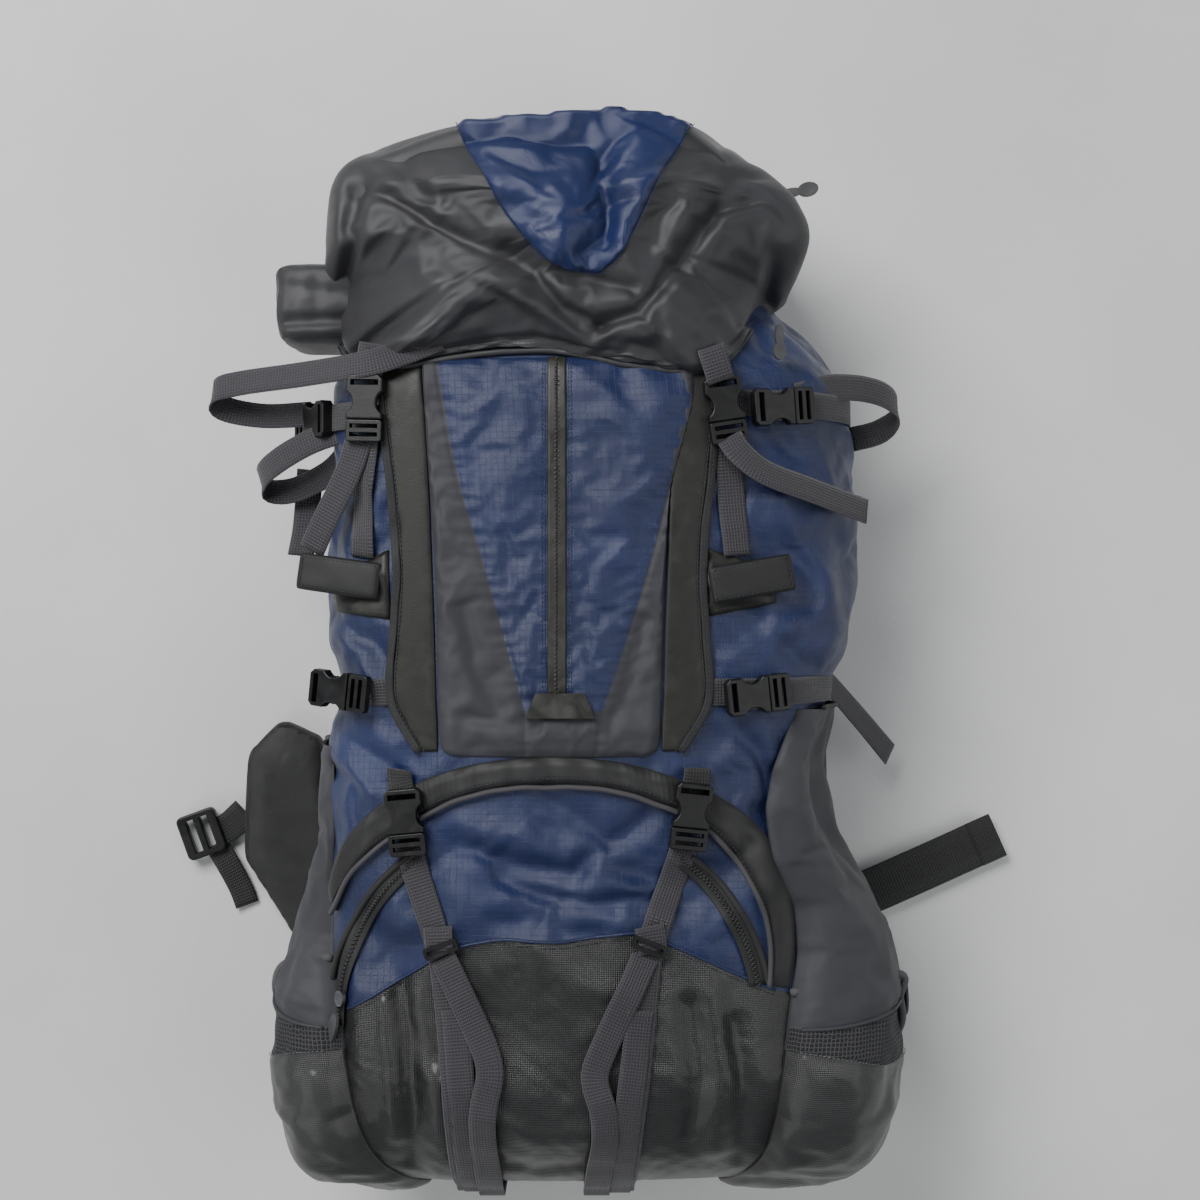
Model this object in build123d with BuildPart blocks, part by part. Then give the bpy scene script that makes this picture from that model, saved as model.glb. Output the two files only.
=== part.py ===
"""Hiking backpack, about 60 litres, lying on its harness on a flat surface.

Frame: origin at the bottom centre, +X to the right of the front panel, +Y from the base to the
lid, +Z up, out of the front panel. Millimetres. Fabric is thicker here than the real cloth.
"""
import os
from math import asin, cos, degrees, hypot, radians, sin, sqrt

from build123d import *

# ---- driving dimensions of the bag ----
front_x = -30.0          # centre line of the front panel
front_z = 236.0          # height of the front panel's crown
crown_r = 700.0          # crown radius of the front panel
left_x = -194.0          # left wall
right_x = 198.0          # right wall
left_r = 48.0            # front corner radius on the left
right_r = 92.0           # front corner radius on the right
back_r = 34.0            # back corner radius
back_z = 28.0            # outside of the back panel
base_y = -404.0          # bottom end of the bag
base_r = 62.0            # rounding between the base and the front
plan_r = 52.0            # rounding of the base's two corners in plan
shoulder_y = 196.0       # where the side walls start to narrow
collar_y = 290.0         # where the collar starts
top_y = 350.0            # open end of the collar
collar_w = 272.0         # width of the collar
collar_drop = 32.0       # how far the collar's open end lies below the crown
wall = 3.0               # thickness of a fabric wall
divider_y = -90.0        # compartment divider
divider_t = 3.0
divider_hole_w = 240.0   # opening left by the divider's drawcord
divider_hole_h = 110.0
base_edge = 201.0        # length of the coated base up the front
boot_l = 66.0            # length of the base's end cap

collar_x = front_x + 30
collar_z = front_z - collar_drop
base_edge_y = base_y + base_edge
boot_y = base_y + boot_l

# ---- layers that hug the front, as heights above it ----
pocket_level = 5.0
zip_level = 6.2
rail_level = 2.5
flap_level = 2.5
strap_level = 4.2
strap_t = 1.5
lid_gap = 7.0

# ---- webbing and buckles ----
webbing_w = 20.0
buckle_w = webbing_w + 7
female_l = 32.0
male_frame_l = 16.0
prong_l = 18.0
buckle_h = 9.6
buckle_gap = 0.4         # clearance between the two halves
buckle_lift = 0.6        # clearance under a buckle

# ---- zips ----
zip_w = 12.0
zip_top_y = 218.0
zip_bottom_y = -24.0
zip_offset = 5.5         # front zip, right of the centre line
arch_y = -262.0          # centre of the arched lower zip
arch_r = 154.0
arch_flap_in = 163.0
arch_flap_out = 194.0

# ---- lid ----
lid_hem_y = 213.0
lid_end_y = 409.0
lid_top_z = front_z + 26
lid_block_y = 306.0      # where the lid turns down over the open end
lid_low_z = 40.0

# ---- harness ----
strap_pad_t = 14.0       # shoulder strap thickness
pad_gap = 0.3
lumbar_w = 188.0
lumbar_y = -292.0
lumbar_l = 130.0
wing_low = 1.5
wing_t = 22.0
pivot_x = 142.0
pivot_y = -292.0
pivot_r = 6.0
pivot_gap = 0.4

# ---- side pockets ----
pocket_depth = 42.0
pocket_low = 34.0
pocket_high = 158.0
pocket_top_y = -60.0
cup_l = 104.0            # length of the coated cup
pocket_swell_y = -190.0  # where the pocket is almost full depth
pocket_full_y = -230.0
pocket_ease = 8.0
pocket_r = 30.0
pocket_end_r = 46.0
pocket_wall = 2.5
hem_gap = 16.0

cup_y = base_y + cup_l
mid_z = 130.0
far = 500.0


# ---- the bag's closed volume ----
def corner_centre(x, radius, side):
    """Centre of a front corner arc, tangent to its wall and to the crown."""
    across = x + side * radius
    rise = sqrt((crown_r - radius) ** 2 - (across - front_x) ** 2)
    return across, front_z - crown_r + rise


left_centre = corner_centre(left_x, left_r, 1)
right_centre = corner_centre(right_x, right_r, -1)


def tangent_angle(centre):
    """Angle at which a corner arc meets the crown, from +X."""
    return degrees(radians(90) + asin((front_x - centre[0]) / (hypot(
        centre[0] - front_x, centre[1] - front_z + crown_r))))


def front_point(x, level=0.0):
    """Height of the front at x and how far it leans, in degrees."""
    if x > right_centre[0]:
        centre, radius = right_centre, right_r + level
    elif x < left_centre[0]:
        centre, radius = left_centre, left_r + level
    else:
        centre, radius = (front_x, front_z - crown_r), crown_r + level
    run = max(-radius * 0.999, min(radius * 0.999, x - centre[0]))
    return centre[1] + sqrt(radius ** 2 - run ** 2), degrees(asin(run / radius))


def bag_volume(grow):
    """The closed volume of bag and collar, grown by a distance on every side."""
    left_turn = tangent_angle(left_centre)
    right_turn = tangent_angle(right_centre)
    with BuildPart() as volume:
        with BuildSketch(Plane.XZ):
            with BuildLine():
                left_arc = CenterArc(left_centre, left_r + grow, left_turn, 180 - left_turn)
                right_arc = CenterArc(right_centre, right_r + grow, 0, right_turn)
                CenterArc((front_x, front_z - crown_r), crown_r + grow, right_turn,
                          left_turn - right_turn)
                low_left = CenterArc((left_x + back_r, back_z + back_r), back_r + grow, 180, 90)
                low_right = CenterArc((right_x - back_r, back_z + back_r), back_r + grow, 270, 90)
                Line(left_arc @ 1, low_left @ 0)
                Line(low_left @ 1, low_right @ 0)
                Line(low_right @ 1, right_arc @ 0)
            make_face()
        extrude(amount=far, both=True)
        with BuildSketch(Plane.YZ):
            with BuildLine():
                brow = front_z + 8
                Polyline((base_y, back_z - 10), (base_y, brow), (shoulder_y + 30, brow),
                         (top_y, collar_z), (top_y, back_z - 10), close=True)
            profile = make_face()
            fillet(profile.vertices().filter_by(
                lambda v: abs(v.X - base_y) < 1 and v.Y > mid_z), base_r)
            if grow:
                offset(amount=grow, kind=Kind.INTERSECTION)
        extrude(amount=far, both=True, mode=Mode.INTERSECT)
        with BuildSketch(Plane.XY):
            with BuildLine():
                Polyline((left_x - 6, base_y), (right_x + 6, base_y), (right_x + 6, shoulder_y),
                         (collar_x + collar_w / 2, collar_y), (collar_x + collar_w / 2, top_y),
                         (collar_x - collar_w / 2, top_y), (collar_x - collar_w / 2, collar_y),
                         (left_x - 6, shoulder_y), close=True)
            outline = make_face()
            fillet(outline.vertices().filter_by(lambda v: abs(v.Y - base_y) < 1), plan_r)
            if grow:
                offset(amount=grow, kind=Kind.INTERSECTION)
        extrude(amount=far, mode=Mode.INTERSECT)
    return volume.part


volumes = {}


def level_volume(level):
    """The bag's volume at a level, made once for each level."""
    key = round(level, 3)
    if key not in volumes:
        volumes[key] = bag_volume(level)
    return volumes[key]


def slab(x_range, y_range, z_range):
    """A box between two corners, as a cutting volume."""
    size = [high - low for low, high in (x_range, y_range, z_range)]
    centre = [(high + low) / 2 for low, high in (x_range, y_range, z_range)]
    return Pos(*centre) * Box(*size, mode=Mode.PRIVATE)


nodes = {}


def keep(name, part):
    """Label a finished piece and put it on the list of nodes."""
    part.label = name
    nodes[name] = part


# ---- bag walls ----
everywhere = (-far, far)


def wall_panel(name, x_range, y_range, z_range):
    """A stretch of the bag's wall between limits."""
    with BuildPart() as panel:
        add(level_volume(0))
        add(level_volume(-wall), mode=Mode.SUBTRACT)
        add(slab(x_range, y_range, z_range), mode=Mode.INTERSECT)
    keep(name, panel.part)


front_left = front_x - 112
front_right = front_x + 112
back_top = back_z + wall
open_end = top_y - wall - 0.1
wall_panel("back_panel", everywhere, (boot_y, open_end), (0, back_top))
wall_panel("front_panel", (front_left, front_right), (divider_y, collar_y), (mid_z, far))
wall_panel("lower_panel", (front_left, front_right), (base_edge_y, divider_y), (mid_z, far))
wall_panel("left_side_panel", (-far, front_left), (boot_y, collar_y), (back_top, far))
wall_panel("right_side_panel", (front_right, far), (boot_y, collar_y), (back_top, far))
wall_panel("collar", everywhere, (collar_y, open_end), (back_top, far))
with BuildPart() as base:
    add(level_volume(0))
    add(level_volume(-wall), mode=Mode.SUBTRACT)
    add(slab((-far, far), (-far, base_edge_y), (0, far)), mode=Mode.INTERSECT)
    add(slab((-far, front_left), (boot_y, far), (0, far)), mode=Mode.SUBTRACT)
    add(slab((front_right, far), (boot_y, far), (0, far)), mode=Mode.SUBTRACT)
    add(slab((-far, far), (boot_y, far), (0, mid_z)), mode=Mode.SUBTRACT)
keep("base_panel", base.part)

with BuildPart() as divider:
    add(level_volume(-wall))
    add(slab(everywhere, (divider_y, divider_y + divider_t), (back_top + 7, far)),
        mode=Mode.INTERSECT)
    with BuildSketch(Plane.XZ.offset(-divider_y - divider_t)):
        with Locations((0, (back_z + front_z) / 2 - 6)):
            RectangleRounded(divider_hole_w, divider_hole_h, 40)
    extrude(amount=divider_t + 1, mode=Mode.SUBTRACT)
keep("divider", divider.part)


# ---- sheets that hug the front ----
def front_sheet(outline, low, high, z_low=mid_z):
    """A layer between two levels, cut to a closed outline in plan."""
    with BuildPart() as sheet:
        add(level_volume(high))
        add(level_volume(low), mode=Mode.SUBTRACT)
        with BuildSketch(Plane.XY.offset(z_low)):
            with BuildLine():
                Polyline(*outline, close=True)
            make_face()
        extrude(amount=far, mode=Mode.INTERSECT)
    return sheet.part


def ribbon_outline(points, width):
    """The outline of a ribbon of one width along a route in plan."""
    left_edge = []
    right_edge = []
    for index, point in enumerate(points):
        before = points[max(index - 1, 0)]
        after = points[min(index + 1, len(points) - 1)]
        length = hypot(after[0] - before[0], after[1] - before[1])
        side = ((before[1] - after[1]) / length, (after[0] - before[0]) / length)
        left_edge.append((point[0] + side[0] * width / 2, point[1] + side[1] * width / 2))
        right_edge.append((point[0] - side[0] * width / 2, point[1] - side[1] * width / 2))
    return left_edge + right_edge[::-1]


pocket_edge = [(93, 222), (84, 75), (81, -24), (79, -60), (70, -66)]
pocket_outline = [(front_x + x, y) for x, y in pocket_edge]
pocket_outline += [(front_x - x, y) for x, y in reversed(pocket_edge)]
keep("front_pocket", front_sheet(pocket_outline, 0, pocket_level))

rail_outer = [(126, 215), (111, 75), (116.5, -24), (94.5, -62)]
rail_inner = [(81, -62), (82, -24), (85, 75), (94, 215)]
for side, word in ((-1, "left"), (1, "right")):
    rail_outline = [(front_x + side * x, y) for x, y in rail_outer + rail_inner]
    keep(word + "_rail", front_sheet(rail_outline, 0, rail_level))

zip_x = front_x + zip_offset
zip_outline = [(zip_x - zip_w / 2, zip_bottom_y - 12), (zip_x + zip_w / 2, zip_bottom_y - 12),
               (zip_x + zip_w / 2, zip_top_y), (zip_x - zip_w / 2, zip_top_y)]
keep("front_zip_tape", front_sheet(zip_outline, pocket_level, zip_level))


def arch_ring(inner, outer, low, high, y_low):
    """A ring round the arch's centre, laid on the front, above a line in plan."""
    with BuildPart() as ring:
        add(level_volume(high))
        add(level_volume(low), mode=Mode.SUBTRACT)
        with BuildSketch(Plane.XY.offset(pocket_high + 2)):
            with Locations((front_x, arch_y)):
                Circle(outer)
                Circle(inner, mode=Mode.SUBTRACT)
            with Locations((front_x, arch_y + far / 2 + y_low)):
                Rectangle(2 * far, far, mode=Mode.INTERSECT)
        extrude(amount=far, mode=Mode.INTERSECT)
    return ring.part


keep("arch_flap", arch_ring(arch_flap_in, arch_flap_out, 0, flap_level, 82))
keep("lower_zip_tape", arch_ring(arch_r - zip_w / 2, arch_r + zip_w / 2, 0, 1.2, -8))

# ---- zip garage and the front slider under it ----
garage_w = 50.0
garage_l = 18.0
garage_y = -30.0
slider_w = 9.0
slider_l = 12.0
slider_h = 3.2
with BuildPart() as garage:
    add(level_volume(pocket_level + 6.5))
    add(level_volume(pocket_level), mode=Mode.SUBTRACT)
    with BuildSketch(Plane.XY.offset(mid_z)):
        with Locations((front_x + 8, garage_y)):
            Trapezoid(garage_w, garage_l, 68)
    extrude(amount=far, mode=Mode.INTERSECT)
    garage_room = slab((zip_x - 8, zip_x + 8), (garage_y - 7, garage_y + 40),
                       (mid_z, front_point(zip_x, pocket_level + 5.4)[0]))
    add(garage_room, mode=Mode.SUBTRACT)
keep("zip_garage", garage.part)

slider_z, slider_tilt = front_point(zip_x, zip_level + 0.3)
slider_plane = Plane((zip_x, garage_y + 1, slider_z), x_dir=(0, 1, 0), z_dir=(
    sin(radians(slider_tilt)), 0, cos(radians(slider_tilt))))
with BuildPart() as front_slider:
    with BuildSketch(slider_plane):
        Ellipse(slider_l / 2, slider_w / 2)
    extrude(amount=slider_h)
    with BuildSketch(slider_plane.offset(slider_h)):
        with Locations((2.5, 0)):
            Rectangle(6, 2.4)
    extrude(amount=0.6)
keep("front_zip_slider", front_slider.part)


# ---- side-release buckles ----
def buckle_plane(x, y, heading, level=strap_level + strap_t, roll=None):
    """Where a buckle lies: local x is the way its male half pulls out."""
    height, tilt = front_point(x, level + buckle_lift)
    tilt = tilt if roll is None else roll
    normal = Vector(sin(radians(tilt)), 0, cos(radians(tilt)))
    pull = Vector(cos(radians(heading)), sin(radians(heading)), 0)
    pull = (pull - normal * pull.dot(normal)).normalized()
    return Plane((x, y, height), x_dir=pull, z_dir=normal)


def female_buckle(place):
    """Housing with a waist, side windows, a mouth and a webbing bar."""
    half = buckle_w / 2
    with BuildPart() as housing:
        with BuildSketch(place):
            with BuildLine():
                Line((0, -half), (0, half))
                Line((0, half), (-4, half))
                ThreePointArc((-4, half), (-12, half - 4.5), (-20, half))
                Line((-20, half), (-female_l + 3, half))
                Line((-female_l + 3, half), (-female_l, half - 3))
                Line((-female_l, half - 3), (-female_l, 3 - half))
                Line((-female_l, 3 - half), (-female_l + 3, -half))
                Line((-female_l + 3, -half), (-20, -half))
                ThreePointArc((-20, -half), (-12, 4.5 - half), (-4, -half))
                Line((-4, -half), (0, -half))
            make_face()
        extrude(amount=buckle_h)
        rims = housing.faces().group_by(SortBy.AREA)[-1].edges()
        fillet(rims, 1.2)
        with BuildSketch(place.offset(2.0)):
            with Locations((-10, 0)):
                Rectangle(20.4, buckle_w - 5.4)
            with Locations((-12, 0)):
                Rectangle(9, buckle_w + 4)
        extrude(amount=buckle_h - 4.0, mode=Mode.SUBTRACT)
        with BuildSketch(place):
            with Locations((-26.5, 0)):
                Rectangle(4.2, webbing_w + 1)
        extrude(amount=buckle_h, mode=Mode.SUBTRACT)
    return housing.part


def male_buckle(place):
    """Ladder-lock frame with two slots, a guide prong and two latch prongs."""
    half = buckle_w / 2
    inner = buckle_w / 2 - 2.7 - buckle_gap
    with BuildPart() as plug:
        with BuildSketch(place.offset(1.2)):
            with Locations((buckle_gap + male_frame_l / 2, 0)):
                RectangleRounded(male_frame_l, buckle_w, 2.2)
            with Locations((buckle_gap + 4.6, 0), (buckle_gap + 10.8, 0)):
                Rectangle(3.2, webbing_w + 1, mode=Mode.SUBTRACT)
        extrude(amount=buckle_h - 2.6)
        rims = [face.outer_wire().edges() for face in plug.faces().group_by(SortBy.AREA)[-1]]
        fillet([edge for rim in rims for edge in rim], 0.9)
        with BuildSketch(place.offset(3.0)):
            with Locations((buckle_gap - prong_l / 2 + 1.4, 0)):
                Rectangle(prong_l, 4)
            for side in (-1, 1):
                with BuildLine():
                    Polyline((1.6, side * (half - 4.6)), (-10, side * (half - 6.0)),
                             (-prong_l, side * (half - 5.4)), (-prong_l + 1, side * (inner - 0.6)),
                             (-11, side * inner), (-9, side * (inner - 1.6)),
                             (1.6, side * (inner - 0.8)), close=True)
                make_face()
        extrude(amount=buckle_h - 6.0)
    return plug.part


webbing_level = rail_level + 0.1           # lid straps lie over the rails' edges
lid_buckle_level = webbing_level + strap_t
lower_buckle_level = strap_level + strap_t
side_buckle_level = strap_t + 0.6
buckle_table = {
    # x and y of the mouth, heading of the pull, level of the underside, roll
    "left_lid": (-163.0, 177.0, -92.0, lid_buckle_level, -10.0),
    "right_lid": (98.0, 176.0, -81.0, lid_buckle_level, 7.0),
    "right_upper": (146.0, 188.0, 4.0, side_buckle_level, 20.0),
    "left_mid": (-174.0, -21.0, -6.0, side_buckle_level + 3.0, -26.0),
    "right_mid": (128.0, -22.0, 6.0, side_buckle_level, 13.0),
    "left_lower": (-132.0, -122.0, -84.0, lower_buckle_level, -9.0),
    "right_lower": (70.5, -118.0, -97.0, lower_buckle_level, 9.0),
}
side_buckle_tilt = radians(-54)
buckle_places = {name: buckle_plane(*row) for name, row in buckle_table.items()}
buckle_places["left_upper"] = Plane(
    (left_x - 16, 181.0, left_centre[1] - 6),
    x_dir=(-cos(side_buckle_tilt), 0, sin(side_buckle_tilt)),
    z_dir=(sin(side_buckle_tilt), 0, cos(side_buckle_tilt)))
for name, place in buckle_places.items():
    keep(name + "_female", female_buckle(place))
    keep(name + "_male", male_buckle(place))

# ---- webbing that lies on the bag ----
def side_band(x_low, x_high, y_mid):
    """A strap that wraps one side of the bag from the back to the front."""
    with BuildPart() as band:
        add(level_volume(strap_t))
        add(level_volume(0), mode=Mode.SUBTRACT)
        add(slab((x_low, x_high), (y_mid - webbing_w / 2, y_mid + webbing_w / 2),
                 (back_z + 4, far)), mode=Mode.INTERSECT)
    return band.part


upper_left_y = 181.0
upper_right_y = 190.0
mid_y = -21.0
with BuildPart() as side_straps:
    add(side_band(-far, left_x + 36, upper_left_y))
    add(side_band(-far, front_x - 118, mid_y))
    add(side_band(front_x + 130, far, upper_right_y))
    add(side_band(front_x + 118, far, mid_y))
keep("side_straps", side_straps.part)

lid_strap_routes = [[(-163, 150), (-163, 84)], [(103, 150), (106, 82)]]
with BuildPart() as lid_straps:
    for route in lid_strap_routes:
        outline = ribbon_outline(route, webbing_w)
        add(front_sheet(outline, webbing_level, webbing_level + strap_t))
keep("lid_straps", lid_straps.part)

lower_strap_routes = [[(-131, -144), (-108, -206), (-97, base_y - 10)],
                      [(68, -140), (42, -204), (22, base_y - 10)]]
with BuildPart() as lower_straps:
    for route in lower_strap_routes:
        outline = ribbon_outline(route, webbing_w)
        add(front_sheet(outline, strap_level, strap_level + strap_t, z_low=60))
keep("lower_straps", lower_straps.part)

glide_l = 9.0
with BuildPart() as glides:
    for route, heading in zip(lower_strap_routes, (-69, -112)):
        place = buckle_plane(*route[1], heading, level=strap_level + strap_t)
        with BuildSketch(place):
            RectangleRounded(glide_l, buckle_w - 1, 2)
            Rectangle(3.4, webbing_w + 1, mode=Mode.SUBTRACT)
        extrude(amount=2.6)
keep("lower_strap_glides", glides.part)

# ---- loose webbing at the sides ----
tail_routes = [
    # wall and y range, then steps out from the wall and down from the crown, out and back
    (left_x, (198, 218), [(14, 8), (-21, 20), (-94, 62), (-102, 73), (-93, 79), (-20, 44)]),
    (left_x, (136, 156), [(-4, 34), (-62, 78), (-70, 89), (-62, 94), (-9, 60)]),
    (right_x, (164, 184), [(-8, 34), (36, 78), (42, 89), (34, 94), (8, 76)]),
    (right_x, (-56, -36), [(5, 140), (24, 166), (54, 206)]),
]
with BuildPart() as tails:
    for wall_x, (low, high), steps in tail_routes:
        route = [(wall_x + out, front_z - down) for out, down in steps]
        with BuildSketch(Plane.XZ.offset(-low)):
            with BuildLine():
                Polyline(*ribbon_outline(route, strap_t), close=True)
            make_face()
        extrude(amount=low - high)
    tail_outline = ribbon_outline([(129, 150), (142, 137), (right_x + 20, 112)], webbing_w)
    add(front_sheet(tail_outline, webbing_level, webbing_level + strap_t))
keep("strap_tails", tails.part)

# ---- label tabs: plain padded tabs beside the rails ----
tab_w = 62.0
tab_h = 27.0
tab_t = 4.5
tab_places = [buckle_plane(-184.0, 63.5, -8.0, level=3.0, roll=-14.0),
              buckle_plane(117.0, 61.5, 10.0, level=lid_buckle_level, roll=12.0)]
tab_places[0] = tab_places[0].offset(front_point(-184.0 + 30)[0] - front_point(-184.0)[0] - 8)
with BuildPart() as tabs:
    for place in tab_places:
        with BuildSketch(place):
            RectangleRounded(tab_w, tab_h, 2)
        extrude(amount=tab_t)
keep("label_tabs", tabs.part)


# ---- side pockets ----
def pocket_solid(side, inset):
    """One side pocket's outer form, or, with an inset, the room inside it."""
    wall_x = right_x if side > 0 else left_x
    deep = wall_x + side * (pocket_depth - inset)
    inward = wall_x - side * 50
    hem = wall_x + side * (hem_gap - inset)
    mouth_y = pocket_top_y + (30 if inset else 0)
    low_y = base_y + 3 + inset
    outline = [(inward, mouth_y), (hem, mouth_y), (hem, pocket_top_y),
               (deep - side * pocket_ease, pocket_swell_y), (deep, pocket_full_y),
               (deep, low_y), (inward, low_y)]
    if not inset:
        outline.pop(2)
    with BuildPart() as pouch:
        with BuildSketch(Plane.XZ):
            with BuildLine():
                Polyline((inward, pocket_low + inset), (deep, pocket_low + inset),
                         (deep, pocket_high - inset), (inward, pocket_high - inset), close=True)
            section = make_face()
            fillet(section.vertices().filter_by(lambda v: abs(v.X - deep) < 1),
                   pocket_r - inset)
        extrude(amount=far, both=True)
        with BuildSketch(Plane.XY):
            with BuildLine():
                Polyline(*outline, close=True)
            plan = make_face()
            fillet(plan.vertices().filter_by(
                lambda v: abs(v.X - deep) < 1 and v.Y < cup_y), pocket_end_r - inset)
        extrude(amount=far, mode=Mode.INTERSECT)
    return pouch.part


pocket_shells = []
for side, word in ((-1, "left"), (1, "right")):
    with BuildPart() as pocket:
        add(pocket_solid(side, 0))
        add(pocket_solid(side, pocket_wall), mode=Mode.SUBTRACT)
        add(level_volume(0), mode=Mode.SUBTRACT)
    pocket_shells.append(pocket.part)
    with BuildPart() as stretch:
        add(pocket.part)
        add(slab(everywhere, (cup_y, far), (0, far)), mode=Mode.INTERSECT)
    keep(word + "_side_pocket", stretch.part)
with BuildPart() as cups:
    for shell in pocket_shells:
        add(shell)
    add(slab(everywhere, (-far, cup_y), (0, far)), mode=Mode.INTERSECT)
keep("pocket_cups", cups.part)

# ---- lid ----
with BuildPart() as lid:
    with BuildSketch(Plane.XY.offset(lid_low_z)):
        with BuildLine():
            Polyline((-173, 222), (-113, lid_hem_y), (77, lid_hem_y), (122, 238), (163, 313),
                     (130, 354), (74, 401), (7, lid_end_y), (-102, 397), (-185, 368),
                     (-197, 249), close=True)
        plan = make_face()
        fillet(plan.vertices(), 12)
    extrude(amount=lid_top_z - lid_low_z)
    with BuildSketch(Plane.YZ):
        with BuildLine():
            Polyline((lid_hem_y - 1, lid_top_z - 57), (lid_hem_y - 1, lid_top_z - 11),
                     (lid_hem_y + 49, lid_top_z + 1), (lid_end_y - 64, lid_top_z - 4),
                     (lid_end_y - 17, lid_top_z - 48), (lid_end_y + 1, lid_top_z - 112),
                     (lid_end_y - 3, lid_low_z + 44), (lid_end_y - 17, lid_low_z - 1),
                     (lid_block_y, lid_low_z - 1), (lid_block_y, lid_top_z - 57), close=True)
        profile = make_face()
        fillet(profile.vertices().filter_by(lambda v: v.X > lid_block_y + 1), 28)
    extrude(amount=far, both=True, mode=Mode.INTERSECT)
    with BuildSketch(Plane.XZ):
        with BuildLine():
            Polyline((-200, lid_low_z - 1), (-200, lid_top_z - 20), (front_x, lid_top_z + 2),
                     (168, lid_top_z - 34), (168, lid_low_z - 1), close=True)
        section = make_face()
        fillet(section.vertices().filter_by(
            lambda v: v.Y > mid_z and abs(v.X - front_x) > 5), 48)
    extrude(amount=far, both=True, mode=Mode.INTERSECT)
    add(level_volume(lid_gap), mode=Mode.SUBTRACT)
with BuildSketch(Plane.XY.offset(lid_top_z - 62)) as panel_plan:
    with BuildLine():
        Polyline((-102, lid_end_y + 11), (-60, 315), (-20, 288), (13, 281), (36, 330),
                 (74, lid_end_y + 11), close=True)
    make_face()
panel_cut = extrude(panel_plan.sketch, amount=far)
with BuildPart() as lid_shell:
    add(lid.part)
    add(panel_cut, mode=Mode.SUBTRACT)
keep("lid_shell", lid_shell.part)
with BuildPart() as lid_panel:
    add(lid.part)
    add(panel_cut, mode=Mode.INTERSECT)
keep("lid_panel", lid_panel.part)

# ---- folded side of the snow collar, beside the lid ----
with BuildPart() as fold:
    with BuildSketch(Plane.XY.offset(106)):
        with Locations((-192, 270)):
            RectangleRounded(92, 60, 12)
    extrude(amount=80)
    fillet(fold.faces().sort_by(Axis.Z)[-1].edges(), 14)
    add(level_volume(0), mode=Mode.SUBTRACT)
keep("collar_fold", fold.part)


# ---- zip pulls ----
def pull_tab(place, length, width, thickness=2.6):
    """A moulded pull that runs along local x from its eye at the origin."""
    with BuildPart() as tab:
        with BuildSketch(place):
            with Locations((length * 0.32, 0)):
                Ellipse(length * 0.32, width * 0.34)
            with Locations((length * 0.76, 0)):
                Ellipse(length * 0.24, width * 0.5)
            with Locations((length * 0.5, 0)):
                Rectangle(length * 0.5, width * 0.42)
        extrude(amount=thickness)
    return tab.part


def tilted_plane(origin, heading, tilt):
    """A plane whose normal leans by tilt about Y and whose x follows a heading."""
    normal = Vector(sin(radians(tilt)), 0, cos(radians(tilt)))
    along = Vector(cos(radians(heading)), sin(radians(heading)), 0)
    along = (along - normal * along.dot(normal)).normalized()
    return Plane(origin, x_dir=along, z_dir=normal)


lid_pull_place = tilted_plane((141, 356, 150), 12, 0)
keep("lid_zip_pull", pull_tab(lid_pull_place, 34, 11))
shoulder_pull_z, shoulder_tilt = front_point(137, 2.0)
shoulder_pull_place = tilted_plane((137, 248, shoulder_pull_z), -88, shoulder_tilt)
keep("shoulder_zip_pull", pull_tab(shoulder_pull_place, 26, 10))

arch_low_z = front_point(front_x - arch_r, 1.5)[0]
arch_slope = degrees(asin((front_z + 1.5 - arch_low_z) / arch_r))
arch_normal = Vector(0, -sin(radians(arch_slope)), cos(radians(arch_slope)))
slider_turn = 174.0
slider_at = Vector(front_x + arch_r * cos(radians(slider_turn)),
                   arch_y + arch_r * sin(radians(slider_turn)) * cos(radians(arch_slope)),
                   arch_low_z + arch_r * sin(radians(slider_turn)) * sin(radians(arch_slope)))
slider_lean = front_point(slider_at.X)[1] * 0.8
lower_slider_place = tilted_plane(
    (slider_at.X, slider_at.Y, slider_at.Z + 2.2), slider_turn - 90, slider_lean)
with BuildPart() as lower_slider:
    with BuildSketch(lower_slider_place):
        Ellipse(slider_l / 2, slider_w / 2)
    extrude(amount=slider_h)
keep("lower_zip_slider", lower_slider.part)
lower_pull_place = tilted_plane(
    (slider_at.X - 3, slider_at.Y - 11, slider_at.Z + 4), -115, slider_lean)
keep("lower_zip_pull", pull_tab(lower_pull_place, 40, 13))

# ---- harness under the bag ----
back_x = (left_x + right_x) / 2


def padded_outline(outline, low, thickness, radius, edge):
    """A pad cut to an outline with rounded corners and softened edges."""
    with BuildPart() as pad:
        with BuildSketch(Plane.XY.offset(low)):
            with BuildLine():
                Polyline(*outline, close=True)
            shape = make_face()
            fillet(shape.vertices(), radius)
        extrude(amount=thickness)
        fillet(pad.edges().filter_by(Plane.XY), edge)
    return pad.part


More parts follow.
